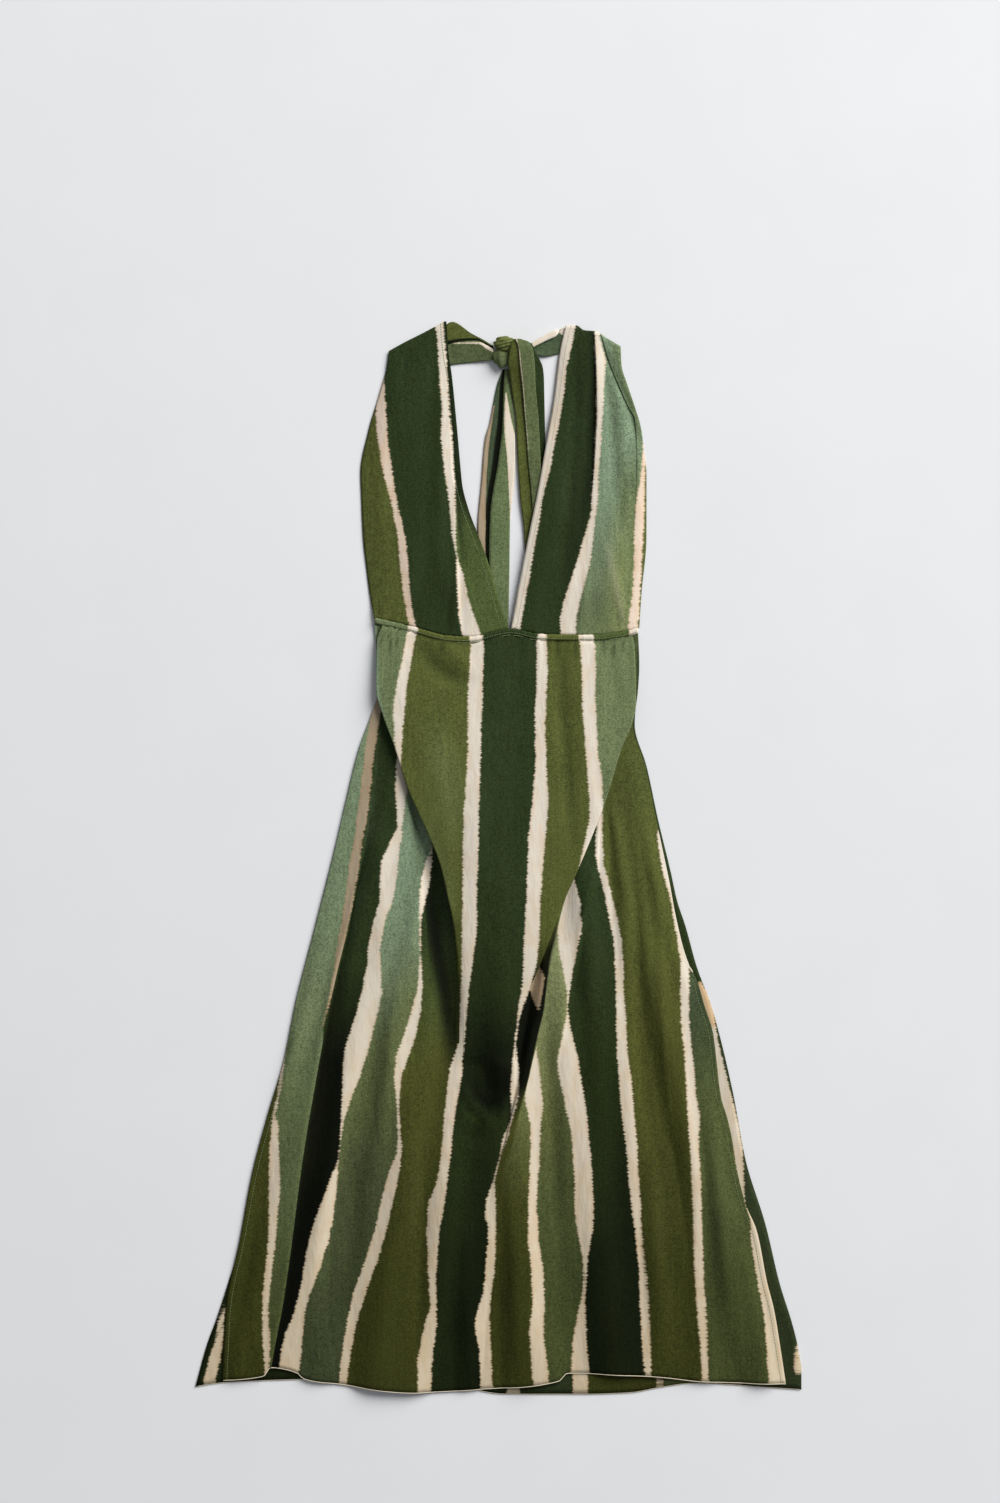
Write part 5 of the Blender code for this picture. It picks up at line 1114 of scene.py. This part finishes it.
# thin cream edges on the ties: rows are (along, from, to), along x on the straps and y on the ends
tieCreams = {
    # the left strap's rim line is a painted highlight along its fold crest
    "leftStrap": {"rim": {"dye": "cream", "sides": [(0, "sage", "sage")], "lines": (0.9, 2.9), "rows": [
        (-58.8, 616.6, 617.8), (-45.6, 616.3, 618.2), (-21.6, 615.7, 618.6), (-13.7, 609.6, 616),
        (-7.2, 606.6, 610.8), (-3.6, 606, 608.4)]}},
    "rightStrap": {"flap": {"dye": "cream", "sides": [(0, "sage", "sage")], "lines": (1.9, 9), "rows": [
        (38, 560, 680), (141, 560, 680)]}},
    "leftEnd": {
        "right": {"dye": "cream", "sides": [(0, "sage", "sage")], "lines": (1.6, 9), "rows": [
            (393.6, 15, 15.2), (408, 13.7, 15.6), (428.4, 13, 18), (454.8, 12, 21), (480.6, 10.3, 22),
            (501.6, 8.4, 22), (527.4, 6.7, 16), (558.7, 8.4, 10.3)]},
        "left": {"dye": "taupe", "sides": [(0, "sage", "sage")], "lines": (-1, 1.2), "rows": [
            (358.2, -17.5, -14.4), (376.8, -22.8, -14.9), (402.5, -26, -14.4), (423.6, -26, -14.4),
            (459.6, -24, -13.2), (490.8, -20, -11), (511.8, -16, -8.4), (543, -7.2, -3.6)]}},
    # the right end's crest line is a painted highlight along its fold crest
    "rightEnd": {"crest": {"dye": "cream", "sides": [(0, "sage", "sage")], "lines": (1.5, 3.0), "rows": [
        (449.4, 40.2, 41.4), (480.6, 36.7, 38.2), (511.8, 34.2, 35.8), (553.2, 30.6, 32.2),
        (579.6, 27.6, 29.3), (606, 24, 26.2), (624, 20.4, 22.2)]}},
}
# greens: spans of lines across a tie and their colours, (from, to, dye); first and last are the ends of its
# rows;
# a black span is painted shadow in a crease
tiePieces = (
    {"title": "neckTieLeftCloth", "node": "neck_tie_left", "key": "leftStrap", "first": -124, "last": -5.4,
     "flat": (0.034, 0.118), "greens": [(-1, 2.5, "tieGreen"), (2.5, 3.1, "black"), (3.1, 9, "olive")]},
    {"title": "neckTieRightCloth", "node": "neck_tie_right", "key": "rightStrap", "first": 39.8, "last": 139,
     "flat": (0.030, 0.104), "greens": [(-1, 9, "tieTeal")]},
    {"title": "tieEndLeftCloth", "node": "tie_end_left", "key": "leftEnd", "first": 586, "last": 238,
     "flat": (0.036, 0.35), "greens": [(-1, 0.75, "teal"), (0.75, 1.5, "black"), (1.5, 9, "tieSage")]},
    {"title": "tieEndRightCloth", "node": "tie_end_right", "key": "rightEnd", "first": 621, "last": 312,
     "flat": (0.046, 0.318), "greens": [(-1, 1.2, "olive"), (1.2, 1.9, "black"), (1.9, 3.4, "tieGreen"),
                                        (3.4, 9, "dark")]},
)
for tie in tiePieces:
    isStrap = tie["key"].endswith("Strap")
    u, v, z, place = foldedGrid(ties[tie["key"]], tie["first"], tie["last"], ties["step"], ties["step"])
    x, y = (v, u) if isStrap else (u, v)
    z = np.maximum(z + softWaves(x * 2.2, y * 1.4, 2.2, 0.22), 0.6)
    grid = np.stack([x, y, z], axis=-1)
    edge, green, cream = dyeAndShadeCloth(grid, place, tieCreams[tie["key"]], turned=isStrap)
    for low, high, dye in tie["greens"]:
        green[:, between(place, (low, high))[0]] = toLinear(dyesAndShades[dye])
    cloth = clothMesh(tie["title"], grid, ties["wall"], 1 if isStrap else -1, (edge, green, cream))
    finishPiece(cloth, tieTurned if isStrap else tieWarp, tie["node"])
    print(tie["title"], grid.shape, "cloth area", round(cutSize(grid), 5))

# the knot's three pulled lobes: centre, half sizes, pleats and the direction in degrees in which they run
knotParts = [
    {"name": "knotUpperLobe", "at": (8, 616, 7.6), "half": (13, 9, 6.4), "pleats": 5, "turn": 22, "taper": 0,
     "green": "tieMoss"},
    {"name": "knotLowerLobe", "at": (4.5, 598.5, 6.2), "half": (10.6, 11.6, 5.4), "pleats": 2, "turn": 100,
     "taper": 0.3, "green": "tieGreen"},
    {"name": "knotRightLobe", "at": (25, 608.5, 6.8), "half": (14.5, 10, 6.4), "pleats": 4, "turn": -24,
     "taper": 0, "green": "sage"},
]
knotStrip = 0.030  # width of the cloth that each lobe is folded from, in metres


def lobeGrid(part, rings=40, around=56, depth=0.09, ripple=0.03):
    # a sphere of the half sizes whose radius gains depth * sin(pleats * place across), most in the middle
    tilt = np.linspace(0, math.pi, rings)[::-1, None]
    turn = np.linspace(0, 2 * math.pi, around, endpoint=False)[None, :]
    x, y, z = np.sin(tilt) * np.cos(turn), np.sin(tilt) * np.sin(turn), np.cos(tilt) + 0 * turn
    angle = math.radians(part["turn"])
    across = -x * math.sin(angle) + y * math.cos(angle)
    along = x * math.cos(angle) + y * math.sin(angle)
    x = x * (1 + part["taper"] * y)
    pleat = np.sin(across * part["pleats"] * 3.0 + along * 1.2 + 0.7) * (1 - 0.5 * along ** 2)
    radius = 1 + depth * pleat + ripple * np.sin(7 * along + 3 * across)
    return np.stack([x, y, z], axis=-1) * radius[..., None] * np.array(part["half"]) + np.array(part["at"])


for part in knotParts:
    grid = lobeGrid(part)
    green, cream = (np.broadcast_to(toLinear(dyesAndShades[dye]), grid.shape) for dye in (part["green"], "cream"))
    lobe = ringMesh(part["name"], grid, (np.full(grid.shape[:2], 50.0), green, cream))  # all of it is green
    finishPiece(lobe, clothTurned, "tie_knot")
    strip = cutSize(np.concatenate([grid, grid[:, :1]], axis=1)) / 2 / knotStrip
print("knot")


def resample(path, pitch, offset=0.0):  # points at even distances along a path
    length = np.concatenate([[0], np.cumsum(np.linalg.norm(np.diff(path, axis=0), axis=1))])
    at = np.arange(pitch / 2 + offset, length[-1], pitch)
    return np.stack([np.interp(at, length, path[:, c]) for c in range(3)], axis=1)


def insideEdge(grid, inward, distance, columns=26):
    # a line on the cloth at a distance from its first or last column, sought in the columns nearest to it
    strip = grid[:, ::inward][:, :columns]
    gaps = np.linalg.norm(np.diff(strip, axis=1), axis=2)
    reach = np.concatenate([np.zeros((len(grid), 1)), np.cumsum(gaps, axis=1)], axis=1)
    return np.stack([[np.interp(distance, reach[r], strip[r, :, c]) for c in range(3)]
                     for r in range(len(grid))])


def pathFrame(along):  # unit vectors along a path, beside it and above it
    along = unit(along)
    side = unit(np.cross(np.array([0, 0, 1.0]), along))
    return along, side, np.cross(along, side)


stitch = {"length": 2.3, "width": 0.62, "height": 0.42, "sides": 6, "lift": 0.62, "ahead": 0.2,
          "rings": [(-1.0, 0.25), (-0.6, 0.9), (0.0, 1.0), (0.6, 0.9), (1.0, 0.25)]}  # place and girth


def stitchRow(name, paths, node, material, pitch=3.1, lift=stitch["lift"]):
    # Each stitch is a flat six-sided grain, half sunk in the cloth, along the path's direction. Two quads
    # close each of its ends.
    turn = np.linspace(0, 2 * math.pi, stitch["sides"], endpoint=False)
    grain = np.array([(place * stitch["length"] / 2, math.cos(a) * girth * stitch["width"] / 2,
                       math.sin(a) * girth * stitch["height"] / 2 + lift)
                      for place, girth in stitch["rings"] for a in turn])
    caps = [[5, 4, 3, 2], [5, 2, 1, 0], [24, 25, 26, 27], [24, 27, 28, 29]]
    grainFaces = np.concatenate([bandQuads(len(stitch["rings"]), stitch["sides"]), caps])
    rows = []
    for path in paths:
        centres, ahead = resample(path, pitch), resample(path, pitch, stitch["ahead"])
        count = min(len(centres), len(ahead))
        along, side, up = (axis[:, None] for axis in pathFrame(ahead[:count] - centres[:count]))
        rows.append(centres[:count, None] + along * grain[None, :, :1] + side * grain[None, :, 1:2]
                    + up * grain[None, :, 2:])
    points = np.concatenate(rows)
    faces = grainFaces[None] + len(grain) * np.arange(len(points))[:, None, None]
    obj = meshObject(name, points.reshape(-1, 3), faces.reshape(-1, 4).tolist())
    return finishPiece(obj, material, node, replaces=False)


def rollEdge(name, path, radius, node, material, squash=1.0, sides=8):  # a ring carried along a path
    _, side, up = (axis[:, None] for axis in pathFrame(np.gradient(path, axis=0)))
    turn = np.linspace(0, 2 * math.pi, sides, endpoint=False)[None, :, None]
    points = path[:, None] + side * (np.cos(turn) * radius) + up * (np.sin(turn) * radius * squash)
    last = (len(path) - 1) * sides
    caps = [[k + 1, k, 0] for k in range(1, sides - 1)] + [[last, last + k, last + k + 1]
                                                           for k in range(1, sides - 1)]
    obj = meshObject(name, points.reshape(-1, 3), bandQuads(len(path), sides).tolist() + caps)
    return finishPiece(obj, material, node, replaces=False)


# distance of each row of stitches from the edge of the cloth, and where the slits end
edgeStitch = {"leftV": 7.5, "rightV": 7.0, "slit": 5.5, "leftSlitTop": -245, "rightSlitTop": -133}
stitchRow("leftNecklineStitches", [insideEdge(panelPieces["halterLeftCloth"], -1, edgeStitch["leftV"])],
          "halter_panel_left", greenThread)
stitchRow("rightNecklineStitches", [insideEdge(panelPieces["halterRightCloth"], 1, edgeStitch["rightV"])],
          "halter_panel_right", clothPale)
leftSlit = insideEdge(frontGrid, 1, edgeStitch["slit"])
rightSlit = insideEdge(frontGrid, -1, edgeStitch["slit"])
stitchRow("slitStitches", [leftSlit[leftSlit[:, 1] < edgeStitch["leftSlitTop"]],
                           rightSlit[rightSlit[:, 1] < edgeStitch["rightSlitTop"]]],
          "skirt_front", greenThread, pitch=3.4)
hemRow = frontGrid[-1] + np.array([0, 0.2, 0])
rollEdge("frontHemRoll", resample(hemRow, 2.2), 0.6, "skirt_front", clothPale, 0.8)
rollEdge("backHemRoll", resample(underGrid[-1], 3.0), 0.5, "skirt_back", clothPale, 0.8)


def onWaist(first, last, count, shift, rise):  # a line along the casing, moved by shift in y and rise in z
    x = np.linspace(first, last, count)
    return np.stack([x, smoothThrough(waist["line"], x) + shift, smoothThrough(waist["height"], x) + rise],
                    axis=1)


rollEdge("casingSeamEdge", onWaist(-62, 47, 90, -waist["width"] / 2 - 0.5, 0.3), 0.45, "waist_casing",
         greenThread)
stitchRow("casingStitches", [onWaist(-146, 166, 220, -1.6, waist["depth"] / 2 - 0.25)], "waist_casing",
          greenThread, pitch=3.0, lift=0.3)
tackPath = np.linspace((230.0, -131.5, 3.4), (233.2, -136.9, 3.4), 5)
rollEdge("slitBarTack", tackPath, 0.9, "skirt_front", paleThread, 0.7)
print("stitching")

table = {"half": 6, "top": -0.0004, "colour": "#E4E5E8", "roughness": 0.9, "specular": 0.2}
view = {"centre": (2.4, 127.8), "height": 4.0, "frameTall": 1.8036, "sensor": 36}
light = {"power": 2550, "size": 9.5, "at": (7.4, 7.8, 6.4), "aim": (0, 0, 0), "colour": (1.0, 0.99, 0.965),
         "sky": 0.25, "skyColour": (0.94, 0.965, 1.0, 1)}

corners = np.array([(-1, -1), (1, -1), (1, 1), (-1, 1)]) * table["half"]
floorMesh = bpy.data.meshes.new("tableTop")
floorMesh.from_pydata([(x, y, table["top"]) for x, y in corners.tolist()], [], [(0, 1, 2, 3)])
tableTop = bpy.data.objects.new("tableTop", floorMesh)
bpy.context.scene.collection.objects.link(tableTop)
tableMaterial, shader, coords = newMaterial("palePaper")
grain = noise(coords, (120, 120, 120), 3.0)
paper = coords.node("ShaderNodeRGB")
paper.socket.default_value = (*(toLinear(table["colour"])), 1)
paper.bright(grain * 0.04 + 0.98).into(shader, "Base Color")
shader.inputs["Roughness"].default_value = table["roughness"]
shader.inputs["Specular IOR Level"].default_value = table["specular"]
tableTop.data.materials.append(tableMaterial)

camera = bpy.data.cameras.new("overheadCamera")
camera.sensor_width = view["sensor"]
camera.lens = view["sensor"] * view["height"] / view["frameTall"]
cameraObject = bpy.data.objects.new("overheadCamera", camera)
cameraObject.location = (view["centre"][0] * mm, view["centre"][1] * mm, view["height"])
bpy.context.scene.collection.objects.link(cameraObject)
bpy.context.scene.camera = cameraObject

key = bpy.data.lights.new("windowKey", "AREA")
key.energy, key.shape, key.size, key.color = light["power"], "DISK", light["size"], light["colour"]
keyObject = bpy.data.objects.new("windowKey", key)
keyObject.location = light["at"]
away = np.array(light["at"], float) - np.array(light["aim"], float)
keyObject.rotation_euler = (math.acos(away[2] / np.linalg.norm(away)), 0, math.atan2(away[0], -away[1]))
bpy.context.scene.collection.objects.link(keyObject)

world = bpy.data.worlds.new("studio")
world.use_nodes = True
world.node_tree.nodes["Background"].inputs["Color"].default_value = light["skyColour"]
world.node_tree.nodes["Background"].inputs["Strength"].default_value = light["sky"]
bpy.context.scene.world = world
bpy.context.scene.view_settings.view_transform = "Standard"
print("camera and light")
